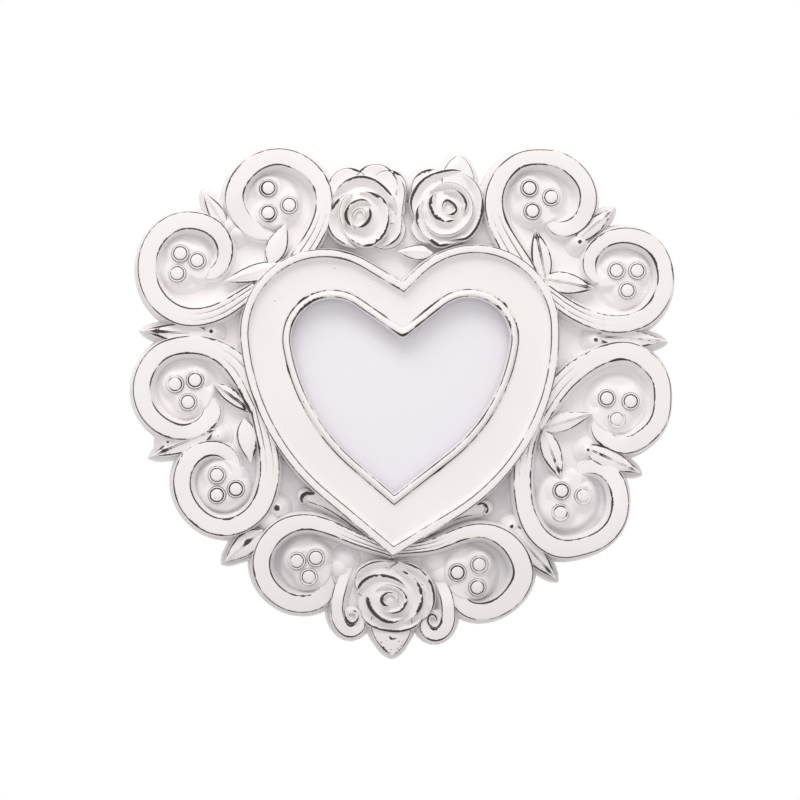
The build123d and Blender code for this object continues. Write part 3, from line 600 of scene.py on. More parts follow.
def band(shape, points, eye_px, rise, low_rise, fade, rub, tail, begin=0.0):
    """A band that leans out to the ground, with an arris on each side. Past the share fade of its
    length it falls to low_rise and a rounded end. Grooves run on it up to the share tail, and it
    may swell up to full height at the share begin."""
    # The band starts a little further back, under the moulding
    (x_px, y_px, width_px), (next_x, next_y, _) = points[:2]
    before = (x_px + 0.25 * (x_px - next_x), y_px + 0.25 * (y_px - next_y), width_px)
    middle, across, share, width = ribbon([before, *points], BAND_STEP)
    half = width * PIXEL / 2
    # The eye is on the inner side
    side = np.sign(np.median(np.sum((spot(eye_px) - middle) * across, axis=1)))
    lean = rise * DRAFT
    top = rise - (rise - low_rise) * smooth(share, fade, 0.97)
    if begin:
        top = top * (0.15 + 0.85 * smooth(share, 0.0, begin))
    half = half * np.sqrt(np.clip(1 - (np.maximum(share - 0.92, 0) / 0.08)**2, 0.03, 1))
    groove = GROOVE_DEEP * (1 - smooth(share, 0.02, tail)) if tail else np.zeros_like(share)
    # Each row: how many half widths out, how far beyond, the share of the height, what is added
    rows = [(-1, -lean, 0, -0.6), (-1, -lean, 0, -0.1), (-1, -lean / 2, 0.5, 0),
            (-1, -0.1, 1, -0.8), (-1, 0, 1, -0.32), (-1, 0.3, 1, -0.1)]
    rows += [(value, 0, 1, 0.12 * (1 - value * value)) for value in BAND_SHARES]
    rows += [(1, -0.3, 1, -0.1), (1, 0, 1, -0.32), (1, 0.25, 1, -0.85), (1, 0.9, 0.55, 0),
             (1, 1.9, 0.16, 0.1), (1, 2.9, 0, 0.1), (1, 2.9, 0, -0.6)]
    arris_rows = (4, len(rows) - 6)
    rings = []
    for of_half, beyond, of_top, more in rows:
        offset = of_half * half + beyond * np.minimum(1, half / 2)
        lift = of_top * top + more
        if -0.9 < of_half < 0.9:
            lift = lift - groove * (0.5 + 0.5 * np.cos(3 * math.pi * of_half + math.pi))
        rings.append(lifted(middle + across * (offset * side)[:, None], GROUND + lift))
    rings = np.array(rings).transpose(1, 0, 2)
    hidden = under_heart(rings[..., [0, 2]])
    rings[..., 1] = np.where(hidden, np.maximum(rings[..., 1], -UNDER_DEPTH), rings[..., 1])
    edge = np.min([np.linalg.norm(rings - rings[:, [row]], axis=2) for row in arris_rows], axis=0)
    worn = 1 - smooth(share, 0.9, 0.99)
    if begin:
        worn = worn * smooth(share, 0.04, 0.8 * begin)
    wide = rubbed(rings[..., [0, 2]], rub) * worn[:, None]
    for row in GROOVE_ROWS if tail else ():
        apart = np.linalg.norm(rings - rings[:, [row]], axis=2)
        faint = GROOVE_LINE * (1 - smooth(share, 0.08, 0.8 * tail))
        wide = np.where(apart < edge, faint[:, None], wide)
        edge = np.minimum(edge, apart)
    shape.add(rings, edge, wide)


# The pads under the berries: their height over the ground, the height of the floor round them,
# how far that floor goes past the eye's reach, the pad's reach round a berry, and how softly the
# reaches round the berries join
PAD_RISE = 5.5
FLOOR_RISE = 2.4
FLOOR_BEYOND = 3.2
BERRY_REACH = 5.9
PAD_SOFT = 1.6


def curl_floor(shape, scroll):
    """The low floor inside a scroll's curl. On it a soft pad carries the berries and joins the
    end of the band."""
    radii = np.linspace(0.02, 1, 34) * (scroll["eye"][2] * PIXEL + FLOOR_BEYOND)
    berries = np.array([spot(berry) for berry in scroll["berries"]])
    plan = spot(scroll["eye"]) + radii[:, None, None] * full_round(96)[None]
    to_berries = np.linalg.norm(plan[..., None, :] - berries, axis=-1)
    pad = -PAD_SOFT * np.log(np.sum(np.exp(-(to_berries - BERRY_REACH) / PAD_SOFT), axis=-1))
    ends = [spot(point) for point in scroll["band"][-3:]] + [berries.mean(axis=0)]
    widths = [point[2] * PIXEL / 2 - 0.4 for point in scroll["band"][-3:]] + [4.0]
    for start, end, first, last in zip(ends, ends[1:], widths, widths[1:]):
        run = end - start
        along = np.clip(((plan - start) @ run) / (run @ run), 0, 1)
        neck = np.linalg.norm(plan - start - along[..., None] * run, axis=-1)
        pad = np.minimum(pad, neck - (first + (last - first) * along))
    lift = FLOOR_RISE + (PAD_RISE - FLOOR_RISE) * (1 - smooth(pad, -0.9, 2.8))
    lift = lift * (1 - smooth(radii, 0.8 * radii[-1], radii[-1]))[:, None]
    top = lifted(plan, GROUND + lift)
    bottom = lifted(plan[-1:], GROUND - 0.5)
    shape.add(np.concatenate([top, bottom]), NO_ARRIS, 0.0)


def lathe(shape, centre, profile, sectors=48, base=GROUND):
    """A turned form. Each row has a radius and a height, and on an arris the width of its rub."""
    circle = full_round(sectors)
    rings = np.array([lifted(centre + circle * row[0], base + row[1]) for row in profile])
    shape.add(rings, *worn_rows(rings, [row[2:] for row in profile]))


BERRY_ROWS = [(0.05, 1.95), (1.2, 1.92), (2.2, 1.82), (2.8, 1.6), (3.1, 1.3), (3.3, 0.95, 0.36),
              (3.5, 1.2), (3.75, 1.42), (4.0, 1.42), (4.2, 1.2), (4.42, 0.7, 0.27), (4.6, 0.25),
              (4.95, 0.0), (4.95, -0.6)]
VOLUTE_EYE_ROWS = [(0.05, 4.3), (1.2, 4.2), (2.4, 4.0), (3.6, 3.9), (5.5, 3.9), (5.9, 3.0),
                   (6.2, -0.5)]
BUD_EYE_ROWS = [(0.05, 4.2), (1.4, 4.0), (2.6, 3.4), (3.4, 2.6), (4.0, 1.2), (4.3, 0), (4.3, -0.5)]
# The heights of a nail and of a bumper are depths from the wall
NAIL_ROWS = [(0.03, 1.52), (0.8, 1.56), (1.35, 1.7), (1.66, 1.9), (1.7, 2.05), (1.7, 2.2),
             (0.7, 2.2), (0.7, 7.4), (0.05, 8.98)]
BUMPER_ROWS = [(0.05, 0.12), (2.4, 0.1), (3.9, 0.0), (4.9, 0.12), (5.6, 0.5), (5.92, 1.1),
               (6.0, 1.9), (6.0, 3.0)]

# A screw's head, shank and cross recess, whose turn is in radians
HEAD_RADII = (0.03, 0.3, 0.45, 0.6, 0.8, 1.0, 1.2, 1.4, 1.6, 1.75, 1.9, 2.3, 2.7, 3.0, 3.14, 3.2)
HEAD_FACE = 0.56
HEAD_DOME = 0.5
SHANK_ROWS = ((3.2, 1.65), (1.5, 1.65), (1.5, 10.0), (0.4, 10.98))
CROSS_HALF_WIDTH = (0.3, 0.45)
CROSS_REACH = (1.6, 1.9)
CROSS_DEPTH = 0.6
CROSS_TURN = 0.6


def cross_screw(shape, centre):
    """A screw with a domed head and a cross recess."""
    turned = np.radians(np.linspace(0, 360, 96, endpoint=False)) + CROSS_TURN
    circle = np.stack([np.cos(turned), np.sin(turned)], axis=-1)
    rings = []
    for radius in HEAD_RADII:
        x, z = radius * np.cos(turned), radius * np.sin(turned)
        cross = 1 - smooth(np.minimum(np.abs(x), np.abs(z)), *CROSS_HALF_WIDTH)
        recess = CROSS_DEPTH * cross * (1 - smooth(radius, *CROSS_REACH))
        depth = HEAD_FACE + HEAD_DOME * (radius / HEAD_RADII[-1])**4 + recess
        rings.append(lifted(centre + radius * circle, depth))
    rings += [lifted(centre + radius * circle, depth) for radius, depth in SHANK_ROWS]
    shape.add(np.array(rings), NO_ARRIS, 0.0)


def leaf_line(leaf_px, first, last, count):
    """Stations along a leaf between two shares: their own shares, its middle, the vectors along
    and across it, and its half widths. A leaf may name a power that makes its tip blunter."""
    start, tip = spot(leaf_px[0]), spot(leaf_px[1])
    run = tip - start
    along = run / np.linalg.norm(run)
    t = 0.5 - 0.5 * np.cos(np.linspace(first, last, count) * math.pi)
    near, far = 3 * (1 - t)**2 * t, 3 * (1 - t) * t**2
    swell = near * LEAF_SHARES[0][1] + far * LEAF_SHARES[1][1]
    half = leaf_px[2] * PIXEL / 2 * swell**(leaf_px[4] if len(leaf_px) > 4 else 1.0)
    middle = start + run * (near * LEAF_SHARES[0][0] + far * LEAF_SHARES[1][0] + t**3)[:, None]
    return t, middle, along, np.array([-along[1], along[0]]), half


def leaf(shape, leaf_px, rise, rub):
    """A pointed leaf with an arris round it. With a crease of 1 it is hollowed on each side of a
    fine rib, and with a crease of 0 it is smoothly crowned."""
    crease = leaf_px[3]
    t, middle, _, across, half = leaf_line(leaf_px, 0.02, 0.985, 36)
    top = rise * (0.86 + 0.14 * np.sin(math.pi * t))
    small = np.minimum(1, half / 2.2)
    inner = [(-0.6, 0, -0.75, -0.42), (-0.3, 0, -0.5, -0.12), (0, -0.55, -0.28, -0.02),
             (0, -0.32, -0.42, 0), (0, 0, 0.05, 0), (0, 0.32, -0.42, 0), (0, 0.55, -0.28, -0.02),
             (0.3, 0, -0.5, -0.12), (0.6, 0, -0.75, -0.42)]
    rows = [(-1, -0.9, 0, -0.5), (-1, -0.9, 0, 0), (-1, -0.1, 1, -1.5), (-1, 0, 1, -1.05),
            (-1, 0.3, 1, -0.9)]
    rows += [(of_half, beyond, 1, crease * creased + (1 - crease) * crowned)
             for of_half, beyond, creased, crowned in inner]
    rows += [(1, -0.3, 1, -0.9), (1, 0, 1, -1.05), (1, 0.1, 1, -1.5), (1, 0.9, 0, 0),
             (1, 0.9, 0, -0.5)]
    rings = np.array([
        lifted(middle + across * (of_half * half + beyond * small)[:, None],
               GROUND + of_top * top + more * small)
        for of_half, beyond, of_top, more in rows]).transpose(1, 0, 2)
    edge, wide = np.full(rings.shape[:2], NO_ARRIS), np.zeros(rings.shape[:2])
    # The arrises are rows 3 and 15, and rows 8 and 10 are the sides of the rib
    for row, mark in ((3, rub), (8, 0.1 * crease), (10, 0.1 * crease), (15, rub)):
        apart = np.linalg.norm(rings - rings[:, [row]], axis=2)
        worn = rubbed(rings[..., [0, 2]], mark) * (small**2)[:, None] * (mark > 0)
        wide = np.where(apart < edge, worn, wide)
        edge = np.minimum(edge, apart)
    shape.add(rings, edge, wide)


RIM_STEP = 0.7


def petal_rim(shape, eye, height, reach, points):
    """A petal's rim: steep outside, a long slope to the eye, fading into the mound at its ends."""
    middle, across, share, rub = ribbon(points, RIM_STEP)
    side = np.sign(np.median(np.sum((spot(eye) - middle) * across, axis=1)))
    full = smooth(share, 0, 0.16) * (1 - smooth(share, 0.84, 1))
    top = height - 1.9 * (1 - full)
    rows = [(-1.1, -4.6), (-0.75, -2.4), (-0.35, -1.0), (-0.1, -0.35), (0, -0.1), (0.3, 0.02),
            (0.7, -0.05), (1.5, -0.4)]
    rows += [(reach * part, -0.4 - 3.3 * part**1.3) for part in (0.5, 0.7, 0.85, 1.0)]
    rows.append((reach, -4.6))
    rings = np.array([
        lifted(middle + across * (side * beyond * (0.4 + 0.6 * full))[:, None],
               GROUND + np.maximum(top + more, 0.1))
        for beyond, more in rows]).transpose(1, 0, 2)
    edge = np.linalg.norm(rings - rings[:, [4]], axis=2)
    shape.add(rings, edge, np.broadcast_to((rub * full)[:, None] * 1.5, edge.shape))


def petal_rows(radius):
    """The profile of a petal behind: a saucer with a raised edge."""
    return [(0.05, 4.6), (radius * 0.5, 4.5), (radius - 1.6, 5.1), (radius - 0.5, 5.3),
            (radius, 5.05, 0.22), (radius + 0.15, 4.5), (radius + 0.5, 2.0), (radius + 0.95, 0),
            (radius + 0.95, -0.5)]


# The mound of a rose, from its eye to its main round: the share of the way, and the height
MOUND_ROWS = [(0.01, 10.2), (0.12, 9.9), (0.25, 8.6), (0.4, 7.7), (0.55, 6.6), (0.7, 5.9),
              (0.85, 5.2), (0.96, 4.7), (1.0, 4.2), (1.05, 0.0), (1.05, -0.5)]


def rose(name, facts, paint):
    """A rose: petals behind, a mound, and the rims of the petals in front."""
    shape = Shape()
    for petal in facts["petals"]:
        lathe(shape, spot(petal), petal_rows(petal[2] * PIXEL), sectors=64)
    eye, ring, radius = spot(facts["eye"]), spot(facts["ring"]), facts["ring"][2] * PIXEL
    circle = full_round(72)
    rings = np.array([lifted(eye * (1 - part) + ring * part + circle * radius * part, GROUND + lift)
                      for part, lift in MOUND_ROWS])
    shape.add(rings, NO_ARRIS, 0.0)
    for height, reach, points in facts["rims"]:
        petal_rim(shape, facts["eye"], height, reach, points)
    make(f"carved_{name}", shape, name, paint)


# The levels of the flare: the depth, and how far out it stands from its motif there
FLARE_DEPTHS = ((GROUND - 0.05, DRAFT * 9.0), (BACK + 0.6, DRAFT * 17.4),
                (BACK + 0.1, DRAFT * 17.4 - 0.4))
# No two shells of the flare share a plane
FLARE_SHIFT = 0.012
FLARE_STEP = 1.6


def flare(paint):
    """The panel's drafted wall under every motif, down to its back edge."""
    shape = Shape()
    shells = 0

    def depths():
        nonlocal shells
        shells += 1
        first, *others = FLARE_DEPTHS
        step = shells * FLARE_SHIFT
        return [(first[0] - step, first[1])] + [(depth + step, beyond) for depth, beyond in others]

    for curl in (*SCROLLS_PX.values(), *VOLUTES_PX.values(), *BUDS_PX.values()):
        middle, across, _, width = ribbon(curl["band"], FLARE_STEP)
        levels, sides = depths(), []
        for side, order in ((1, levels), (-1, levels[::-1])):
            for depth, beyond in order:
                reach = side * (width * PIXEL / 2 + beyond)
                sides.append(lifted(middle + across * reach[:, None], depth))
        shape.add(np.array(sides).transpose(1, 0, 2), NO_ARRIS, 0.0)
    for facts in ROSES_PX.values():
        for petal in facts["petals"]:
            rows = [(petal[2] * PIXEL + beyond, depth) for depth, beyond in depths()]
            lathe(shape, spot(petal), rows, sectors=64, base=0)
    for leaves in (*LEAVES_PX.values(), *DARTS_PX.values()):
        for leaf_px in leaves:
            t, middle, along, across, half = leaf_line(leaf_px, 0.02, 1, 24)
            near_tip = smooth(t, 0.8, 1.0)
            rings = []
            for depth, beyond in depths():
                line = middle + along * (beyond * near_tip)[:, None]
                out = across * (half + beyond * np.sqrt(1.02 - near_tip**2))[:, None]
                rings.append(lifted(np.concatenate([line + out, (line - out)[::-1]]), depth))
            shape.add(np.array(rings), NO_ARRIS, 0.0)
    make("border_flare", shape, None, paint)


# Small knobs where darts begin, with the reach of the worn spot on each and the share of the
# full height, and two low webs, of two knobs each, where the small scrolls begin
KNOBS_PX = [(211, 331, 0.9, 1.0), (168, 442, 0.3, 1.0), (277, 508, 1.5, 1.0), (582, 240, 1.0, 1.0),
            (598, 339, 1.0, 1.0), (590, 450, 0.7, 1.0), (513, 527, 1.0, 1.0), (237, 231, 0.0, 1.0),
            (230, 224, 0.0, 1.0), (218, 436, 0.5, 1.0), (268, 521, 0.0, 1.0),
            (346, 560, 0.0, 0.4), (338, 570, 0.0, 0.5), (437, 564, 0.0, 0.45), (443, 576, 0.0, 0.5)]
# The radius and height of a knob's top, the rows below it, and how wide the top is rubbed for
# each unit of its worn spot's reach
KNOB_TOP = (0.05, 6.4)
KNOB_ROWS = [(0.6, 6.35), (1.3, 6.2), (2.2, 5.8), (3.1, 5.1), (4.0, 4.0), (4.9, 2.6), (5.8, 1.3),
             (6.7, 0.4), (7.6, 0.05), (7.6, -0.5)]
WORN_SHARE = 0.85


def nodes_of(owner):
    """The emptied node tree of a material or a world."""
    owner.use_nodes = True
    owner.node_tree.nodes.clear()
    return owner.node_tree


def wired(tree, kind, *values):
    """A new node. Its first inputs are linked to sockets or set to values, in their order."""
    node = tree.nodes.new(kind)
    for socket, value in zip(node.inputs, values):
        if isinstance(value, bpy.types.NodeSocket):
            tree.links.new(value, socket)
        else:
            socket.default_value = value
    return node


def reckoned(tree, operation, first, second):
    """The result of a reckoning with two sockets or values."""
    node = wired(tree, "ShaderNodeMath", first, second)
    node.operation = operation
    return node.outputs[0]


# The sockets of the mix node that hold colours
MIX_FIRST, MIX_SECOND, MIX_RESULT = 6, 7, 2


class Graph:
    """Short calls for a material's nodes. Each gives the socket of its result."""

    def __init__(self, name):
        self.material = bpy.data.materials.new(name)
        self.tree = nodes_of(self.material)
        self.place = wired(self.tree, "ShaderNodeTexCoord").outputs["Object"]

    def link(self, value, socket):
        if isinstance(value, bpy.types.NodeSocket):
            self.tree.links.new(value, socket)
        else:
            socket.default_value = (*value, 1) if isinstance(value, tuple) else value

    def noise(self, scale, detail, place=None):
        node = wired(self.tree, "ShaderNodeTexNoise", place or self.place)
        node.inputs["Scale"].default_value = scale
        node.inputs["Detail"].default_value = detail
        return node.outputs["Fac"]

    def math(self, operation, first, second=0.0):
        return reckoned(self.tree, operation, first, second)

    def times(self, first, second):
        return self.math("MULTIPLY", first, second)

    def plus(self, first, second):
        return self.math("ADD", first, second)

    def minus(self, first, second):
        return self.math("SUBTRACT", first, second)

    def spread(self, value, low, high, to_low=0.0, to_high=1.0, kind="SMOOTHSTEP"):
        node = wired(self.tree, "ShaderNodeMapRange", value, low, high, to_low, to_high)
        node.interpolation_type = kind
        return node.outputs["Result"]

    def attribute(self, name):
        node = wired(self.tree, "ShaderNodeAttribute")
        node.attribute_name = name
        return node.outputs["Fac"]

    def axis(self, label):
        return wired(self.tree, "ShaderNodeSeparateXYZ", self.place).outputs[label]

    def mix(self, share, first, second):
        node = wired(self.tree, "ShaderNodeMix", share)
        node.data_type = "RGBA"
        self.link(first, node.inputs[MIX_FIRST])
        self.link(second, node.inputs[MIX_SECOND])
        return node.outputs[MIX_RESULT]

    def stretched(self, scale):
        node = wired(self.tree, "ShaderNodeMapping", self.place)
        node.inputs["Scale"].default_value = scale
        return node.outputs["Vector"]

    def finish(self, colour, roughness, height=None, distance=0.0001, strength=0.3, **constants):
        shader = wired(self.tree, "ShaderNodeBsdfPrincipled")
        self.link(colour, shader.inputs["Base Color"])
        self.link(roughness, shader.inputs["Roughness"])
        for label, value in constants.items():
            shader.inputs[label].default_value = value
        if height is not None:
            bump = wired(self.tree, "ShaderNodeBump")
            bump.inputs["Strength"].default_value = strength
            bump.inputs["Distance"].default_value = distance
            self.link(height, bump.inputs["Height"])
            self.tree.links.new(bump.outputs["Normal"], shader.inputs["Normal"])
        wired(self.tree, "ShaderNodeOutputMaterial", shader.outputs["BSDF"])
        return self.material


# The slopes of the paint's masks, in metres
GROUND_Y = (-0.0117, -0.0105)
RECESS_Y = (-0.0205, -0.0135)
GAP_Y = (-0.0145, -0.0125)
GAP_TOP_Z = (-0.115, -0.14)
GAP_FOOT_Z = (-0.185, -0.165)
FOOT_Z = (-0.150, -0.185)
ASIDE_X = (0.030, 0.036)
LEAF_TIP_Z = (-0.209, -0.214)
LEAF_TIP_X = (0.009, 0.012)
# The colours of painted shade, in the lower gaps and low recesses and on the lowest parts
SHADE_COLOUR = (0.58, 0.57, 0.585)
LOW_SHADE_COLOUR = (0.70, 0.68, 0.675)
HALO_COLOUR = (0.74, 0.70, 0.66)


def paint_material():
    """Warm white paint, rubbed through to dark along the arrises, with a painted bluish shade in
    the recesses and painted shade in the lower gaps and low down.
    """
    g = Graph("rubbed_white_paint")
    edge, rub = g.attribute("edge_mm"), g.attribute("rub_mm")
    marked = g.math("GREATER_THAN", rub, 0.02)
    patches = g.plus(g.times(g.noise(70, 2), 0.62), g.times(g.noise(330, 2), 0.38))
    kept = g.spread(patches, 0.36, 0.51, 0.0, 1.15)
    ragged = g.times(g.minus(g.noise(1900, 2), 0.5), 0.95)
    wide = g.times(rub, g.plus(kept, ragged))
    line = g.times(g.spread(g.minus(wide, edge), -0.05, 0.06), marked)
    patchy = g.spread(g.noise(240, 3), 0.45, 0.7, 0.0, 0.55)
    halo = g.times(g.times(g.spread(edge, 0.2, 1.3, 1.0, 0.0), patchy), marked)
    front = g.spread(g.axis("Y"), *GROUND_Y, 1.0, 0.0)
    # Specks here and there, and scraps on the lowest leaf's tip
    tip = g.times(g.spread(g.axis("Z"), *LEAF_TIP_Z), front)
    tip = g.times(tip, g.spread(g.math("ABSOLUTE", g.axis("X")), *LEAF_TIP_X, 1.0, 0.0))
    speck = g.spread(g.plus(g.noise(620, 1), g.times(tip, 0.17)), 0.81, 0.84)
    white = g.mix(g.spread(g.noise(26, 4), 0.3, 0.7), (0.90, 0.872, 0.862), (0.875, 0.85, 0.842))
    # The recesses are painted a paler, bluer white, a painted tint for the bluish light in their
    # shade
    low = g.minus(g.spread(g.axis("Y"), *RECESS_Y), g.spread(g.axis("Y"), *GROUND_Y))
    white = g.mix(low, white, (0.912, 0.882, 0.893))
    # The lower gaps beside the heart are painted greyer, a painted shade for the deep shade in
    # these narrow gaps under the moulding
    shaded = g.times(g.spread(g.axis("Y"), *GAP_Y), g.spread(g.axis("Z"), *GAP_TOP_Z))
    shaded = g.times(g.times(shaded, g.spread(g.axis("Z"), *GAP_FOOT_Z)), front)
    grey = g.times(g.spread(g.noise(90, 3), 0.25, 0.75, 0.3, 0.8), shaded)
    white = g.mix(grey, white, SHADE_COLOUR)
    # The lowest parts are painted a little darker, a painted shade for the dimmer light low down,
    # and the recesses of the lowest curls are painted darker still, also a painted shade
    foot = g.spread(g.axis("Z"), *FOOT_Z)
    white = g.mix(g.times(foot, 0.27), white, LOW_SHADE_COLOUR)
    aside = g.spread(g.math("ABSOLUTE", g.axis("X")), *ASIDE_X)
    white = g.mix(g.times(g.times(low, foot), g.times(aside, 0.5)), white, SHADE_COLOUR)
    white = g.mix(halo, white, HALO_COLOUR)
    dark = g.mix(g.noise(900, 1), (0.022, 0.018, 0.017), (0.075, 0.06, 0.052))
    shown = g.math("MAXIMUM", line, speck)
    strokes = g.noise(1.0, 3, g.stretched((300, 300, 900)))
    height = g.plus(g.times(strokes, 0.5), g.times(g.noise(1400, 2), 0.35))
    height = g.minus(height, g.times(shown, 0.6))
    rough = g.spread(shown, 0, 1, 0.5, 0.72, "LINEAR")
    return g.finish(g.mix(shown, white, dark), rough, height, distance=0.00012, strength=0.25)


def other_materials():
    """The materials of all but the paint, by the names of their finishes."""
    made = {}
    g = Graph("clear_glass")
    tint = g.mix(g.noise(12, 1), (0.93, 0.96, 0.95), (0.96, 0.98, 0.97))
    made["clear_glass"] = g.finish(tint, 0.04, Alpha=0.05, IOR=1.5)
    g = Graph("blank_photo_paper")
    shade = g.mix(g.noise(9, 2), (0.865, 0.835, 0.905), (0.89, 0.865, 0.915))
    made["plain_insert"] = g.finish(shade, 0.35, g.noise(900, 2), distance=0.00003, strength=0.2)
    g = Graph("grey_filler_card")
    fibres = g.noise(1.0, 4, g.stretched((900, 300, 260)))
    made["grey_card"] = g.finish(g.mix(fibres, (0.30, 0.29, 0.27), (0.42, 0.41, 0.38)), 0.9, fibres)
    g = Graph("brown_hardboard")
    fibres = g.plus(g.times(g.noise(420, 5), 0.6), g.times(g.noise(60, 3), 0.4))
    board = g.mix(g.spread(fibres, 0.35, 0.65), (0.19, 0.105, 0.055), (0.33, 0.20, 0.115))
    rough = g.spread(fibres, 0.3, 0.7, 0.62, 0.85)
    made["brown_board"] = g.finish(board, rough, fibres, distance=0.0002)
    for label, low, high in (("plated_steel", (0.30, 0.30, 0.29), (0.44, 0.43, 0.41)),
                             ("screw_steel", (0.34, 0.29, 0.19), (0.52, 0.45, 0.30))):
        g = Graph(label)
        drawn = g.noise(1.0, 3, g.stretched((260, 260, 2400)))
        made[label] = g.finish(g.mix(drawn, low, high), g.spread(drawn, 0.3, 0.7, 0.34, 0.5), drawn,
                               distance=0.00004, Metallic=1.0)
    g = Graph("bumper_rubber")
    grain = g.noise(1600, 3)
    rubber = g.mix(grain, (0.10, 0.10, 0.10), (0.16, 0.16, 0.155))
    made["bumper_rubber"] = g.finish(rubber, 0.75, grain)
    return made


paint = paint_material()
finishes = other_materials()
finishes["white_paint"] = paint

SCROLL_BAND = {"rise": 9.0, "low_rise": 4.7, "fade": 0.74, "rub": 0.47, "tail": 0.34}
VOLUTE_BAND = {"rise": 7.0, "low_rise": 4.2, "fade": 0.6, "rub": 0.42, "tail": 0.0, "begin": 0.4}
BUD_BAND = {"rise": 5.0, "low_rise": 4.6, "fade": 0.5, "rub": 0.4, "tail": 0.5}
# Each kind of small curl: its band, the rows of its eye, and the height and reach of its rim
SMALL_CURLS = ((VOLUTES_PX, VOLUTE_BAND, VOLUTE_EYE_ROWS, 6.2, 1.6),
               (BUDS_PX, BUD_BAND, BUD_EYE_ROWS, 5.4, 1.4))
# Each kind of leaf: its height over the ground and the width of the rub on its arris
LEAF_KINDS = ((LEAF_PAIRS_PX, 6.8, 0.5), (LEAVES_PX, 6.6, 0.35), (DARTS_PX, 6.4, 0.5))

moulding(paint)
flare(paint)
for name, scroll in SCROLLS_PX.items():
    shape = Shape()
    band(shape, scroll["band"], scroll["eye"], **SCROLL_BAND)
    curl_floor(shape, scroll)
    make(f"carved_scroll_{name}", shape, f"scroll_{name}", paint)
    shape = Shape()
    for berry in scroll["berries"]:
        lathe(shape, spot(berry), BERRY_ROWS, sectors=56, base=GROUND + PAD_RISE)
    make(f"ringed_berries_{name}", shape, f"berries_{name}", paint)
for curls, form, eye_rows, height, reach in SMALL_CURLS:
    for name, curl in curls.items():
        shape = Shape()
        band(shape, curl["band"], curl["eye"], **form)
        lathe(shape, spot(curl["eye"]), eye_rows)
        petal_rim(shape, curl["eye"], height, reach, curl["rim"])
        make(f"carved_{name}", shape, name, paint)
for name, facts in ROSES_PX.items():
    rose(name, facts, paint)
for group, rise, rub in LEAF_KINDS:
    for name, leaves in group.items():
        shape = Shape()
        for leaf_px in leaves:
            leaf(shape, leaf_px, rise, rub)
        make(f"carved_{name}", shape, name, paint)
shape = Shape()
for *place_px, worn, share in KNOBS_PX:
    rows = [(KNOB_TOP[0], KNOB_TOP[1] * share, worn * WORN_SHARE)]
    rows += [(radius, lift * share) for radius, lift in KNOB_ROWS]
    lathe(shape, spot(place_px), rows)
make("worn_knobs", shape, None, paint)

# Hardware on the back
PIVOTS = [(-50.651, -30.924), (-50.298, -116.708), (48.767, -28.614), (45.461, -124.136)]
NAILS = [(-18.5, 2.0), (18.5, 2.0)]
BUMPER_SCROLLS = ("top_left", "top_right", "lower_left", "lower_right")
shape = Shape()
for pivot in PIVOTS:
    cross_screw(shape, np.array(pivot))
make("cross_head_screws", shape, "button_screws", finishes["screw_steel"])
shape = Shape()
for nail in NAILS:
    lathe(shape, np.array(nail), NAIL_ROWS, base=0)
make("domed_nails", shape, "hanger_nails", finishes["screw_steel"])
shape = Shape()
for name in BUMPER_SCROLLS:
    lathe(shape, spot(SCROLLS_PX[name]["eye"]), BUMPER_ROWS, sectors=72, base=0)
make("soft_bumpers", shape, "wall_bumpers", finishes["bumper_rubber"])

# The CAD nodes that stay: their finishes, and the widths of their bevels in metres
SHOWN_FINISHES = {
    "glass_pane": "clear_glass", "photo_insert": "plain_insert", "filler_card": "grey_card",
    "backing_board": "brown_board", "border_panel": "white_paint",
    "sawtooth_hanger": "plated_steel", "turn_button": "plated_steel"}
BEVELS = {"sawtooth_hanger": 0.00012, "backing_board": 0.0004, "filler_card": 0.0002,
          "glass_pane": 0.0001, "turn_button": 0.00015}
for name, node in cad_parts.items():
    if node.hide_render:
        continue
    kind = "turn_button" if name.startswith("turn_button") else name
    node.data.materials.clear()
    node.data.materials.append(finishes[SHOWN_FINISHES[kind]])
    if kind in BEVELS:
        bevel = node.modifiers.new("worn_edges", "BEVEL")
        bevel.width, bevel.segments, bevel.limit_method = BEVELS[kind], 2, "ANGLE"

WORLD_COLOUR = (1.0, 0.985, 0.98, 1)
WORLD_LIGHT = 0.735
# Each lamp: name, place, aim, size and power
LAMPS = [("top_light", (-0.19, -0.76, 0.86), (0, 0, -0.08), (1.0, 0.5), 7.0)]
LAMP_COLOUR = (1.0, 0.985, 0.975)
FLOOR_RADIUS = 1.6
FLOOR_Z = -0.75
# The camera sees the floor nearly white, and the light sees it pale
FLOOR_PALE = (0.85, 0.85, 0.85, 1)
FLOOR_SEEN = (1.6, 1.6, 1.6, 1)
FLOOR_GLOW = 0.6
CAMERA_PLACE = Vector((-0.037, -1.089, -0.114))
CAMERA_AIM = Vector((-0.001, -0.024, -0.094))


def aimed(item, place, aim):
    """A lamp or camera put at a place and turned to its aim."""
    item.location = place
    item.rotation_euler = (aim - place).to_track_quat("-Z", "Y").to_euler()


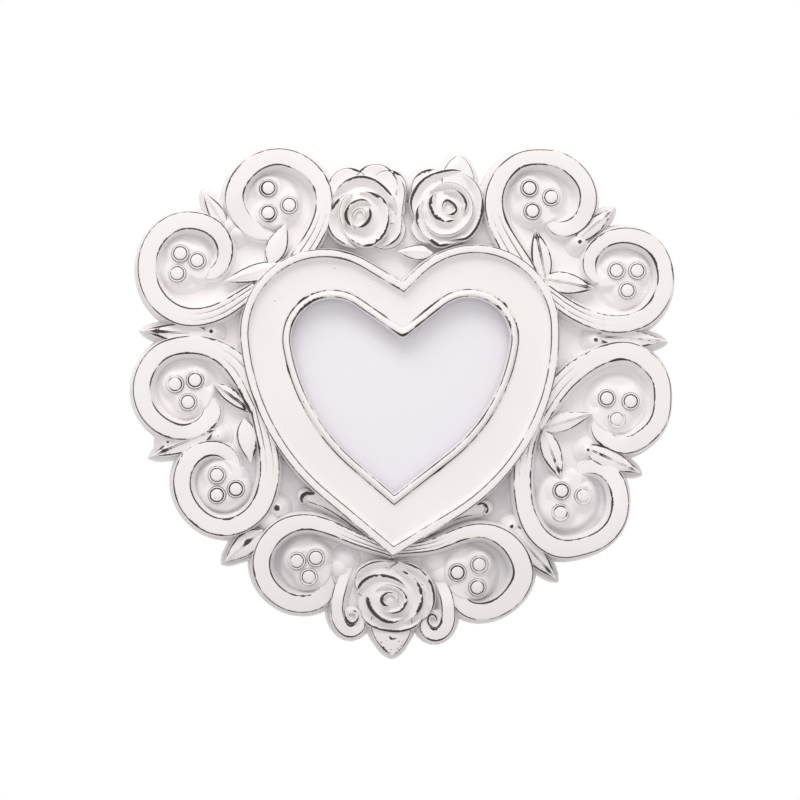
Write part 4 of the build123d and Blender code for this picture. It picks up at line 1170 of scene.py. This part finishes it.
def stage_and_light():
    """A pale floor under the frame, a white surrounding for the camera, soft light from above."""
    world = bpy.context.scene.world or bpy.data.worlds.new("studio")
    bpy.context.scene.world = world
    tree = nodes_of(world)
    path = wired(tree, "ShaderNodeLightPath").outputs
    glossy = reckoned(tree, "MAXIMUM", path["Is Glossy Ray"], path["Is Transmission Ray"])
    seen = reckoned(tree, "MAXIMUM", path["Is Camera Ray"], glossy)
    light = wired(tree, "ShaderNodeBackground", WORLD_COLOUR, WORLD_LIGHT).outputs[0]
    white = wired(tree, "ShaderNodeBackground", (1, 1, 1, 1)).outputs[0]
    mixed = wired(tree, "ShaderNodeMixShader", seen, light, white).outputs[0]
    wired(tree, "ShaderNodeOutputWorld", mixed)

    mesh = bpy.data.meshes.new("floor")
    angles = np.radians(np.arange(0, 360, 5))
    rim = [(FLOOR_RADIUS * math.cos(a), FLOOR_RADIUS * math.sin(a), FLOOR_Z) for a in angles]
    mesh.from_pydata(rim, [], [list(range(len(angles)))])
    floor = added("floor", mesh)
    material = bpy.data.materials.new("pale_floor")
    tree = nodes_of(material)
    path = wired(tree, "ShaderNodeLightPath").outputs
    pale = wired(tree, "ShaderNodeBsdfDiffuse", FLOOR_PALE).outputs[0]
    bright = wired(tree, "ShaderNodeBsdfDiffuse", FLOOR_SEEN).outputs[0]
    glow = wired(tree, "ShaderNodeEmission").outputs[0]
    white = wired(tree, "ShaderNodeMixShader", FLOOR_GLOW, bright, glow).outputs[0]
    choice = wired(tree, "ShaderNodeMixShader", path["Is Camera Ray"], pale, white).outputs[0]
    wired(tree, "ShaderNodeOutputMaterial", choice)
    mesh.materials.append(material)

    for name, place, aim, size, power in LAMPS:
        data = bpy.data.lights.new(name, "AREA")
        data.shape = "RECTANGLE"
        data.size, data.size_y = size
        data.energy = power
        data.color = LAMP_COLOUR
        aimed(added(name, data), Vector(place), Vector(aim))


stage_and_light()

bpy.context.scene.view_settings.view_transform = "Standard"

data = bpy.data.cameras.new("photo_view")
data.sensor_width = 36.0
data.lens = 96.0
data.clip_start, data.clip_end = 0.05, 20.0
camera = added("photo_view", data)
aimed(camera, CAMERA_PLACE, CAMERA_AIM)
bpy.context.scene.camera = camera
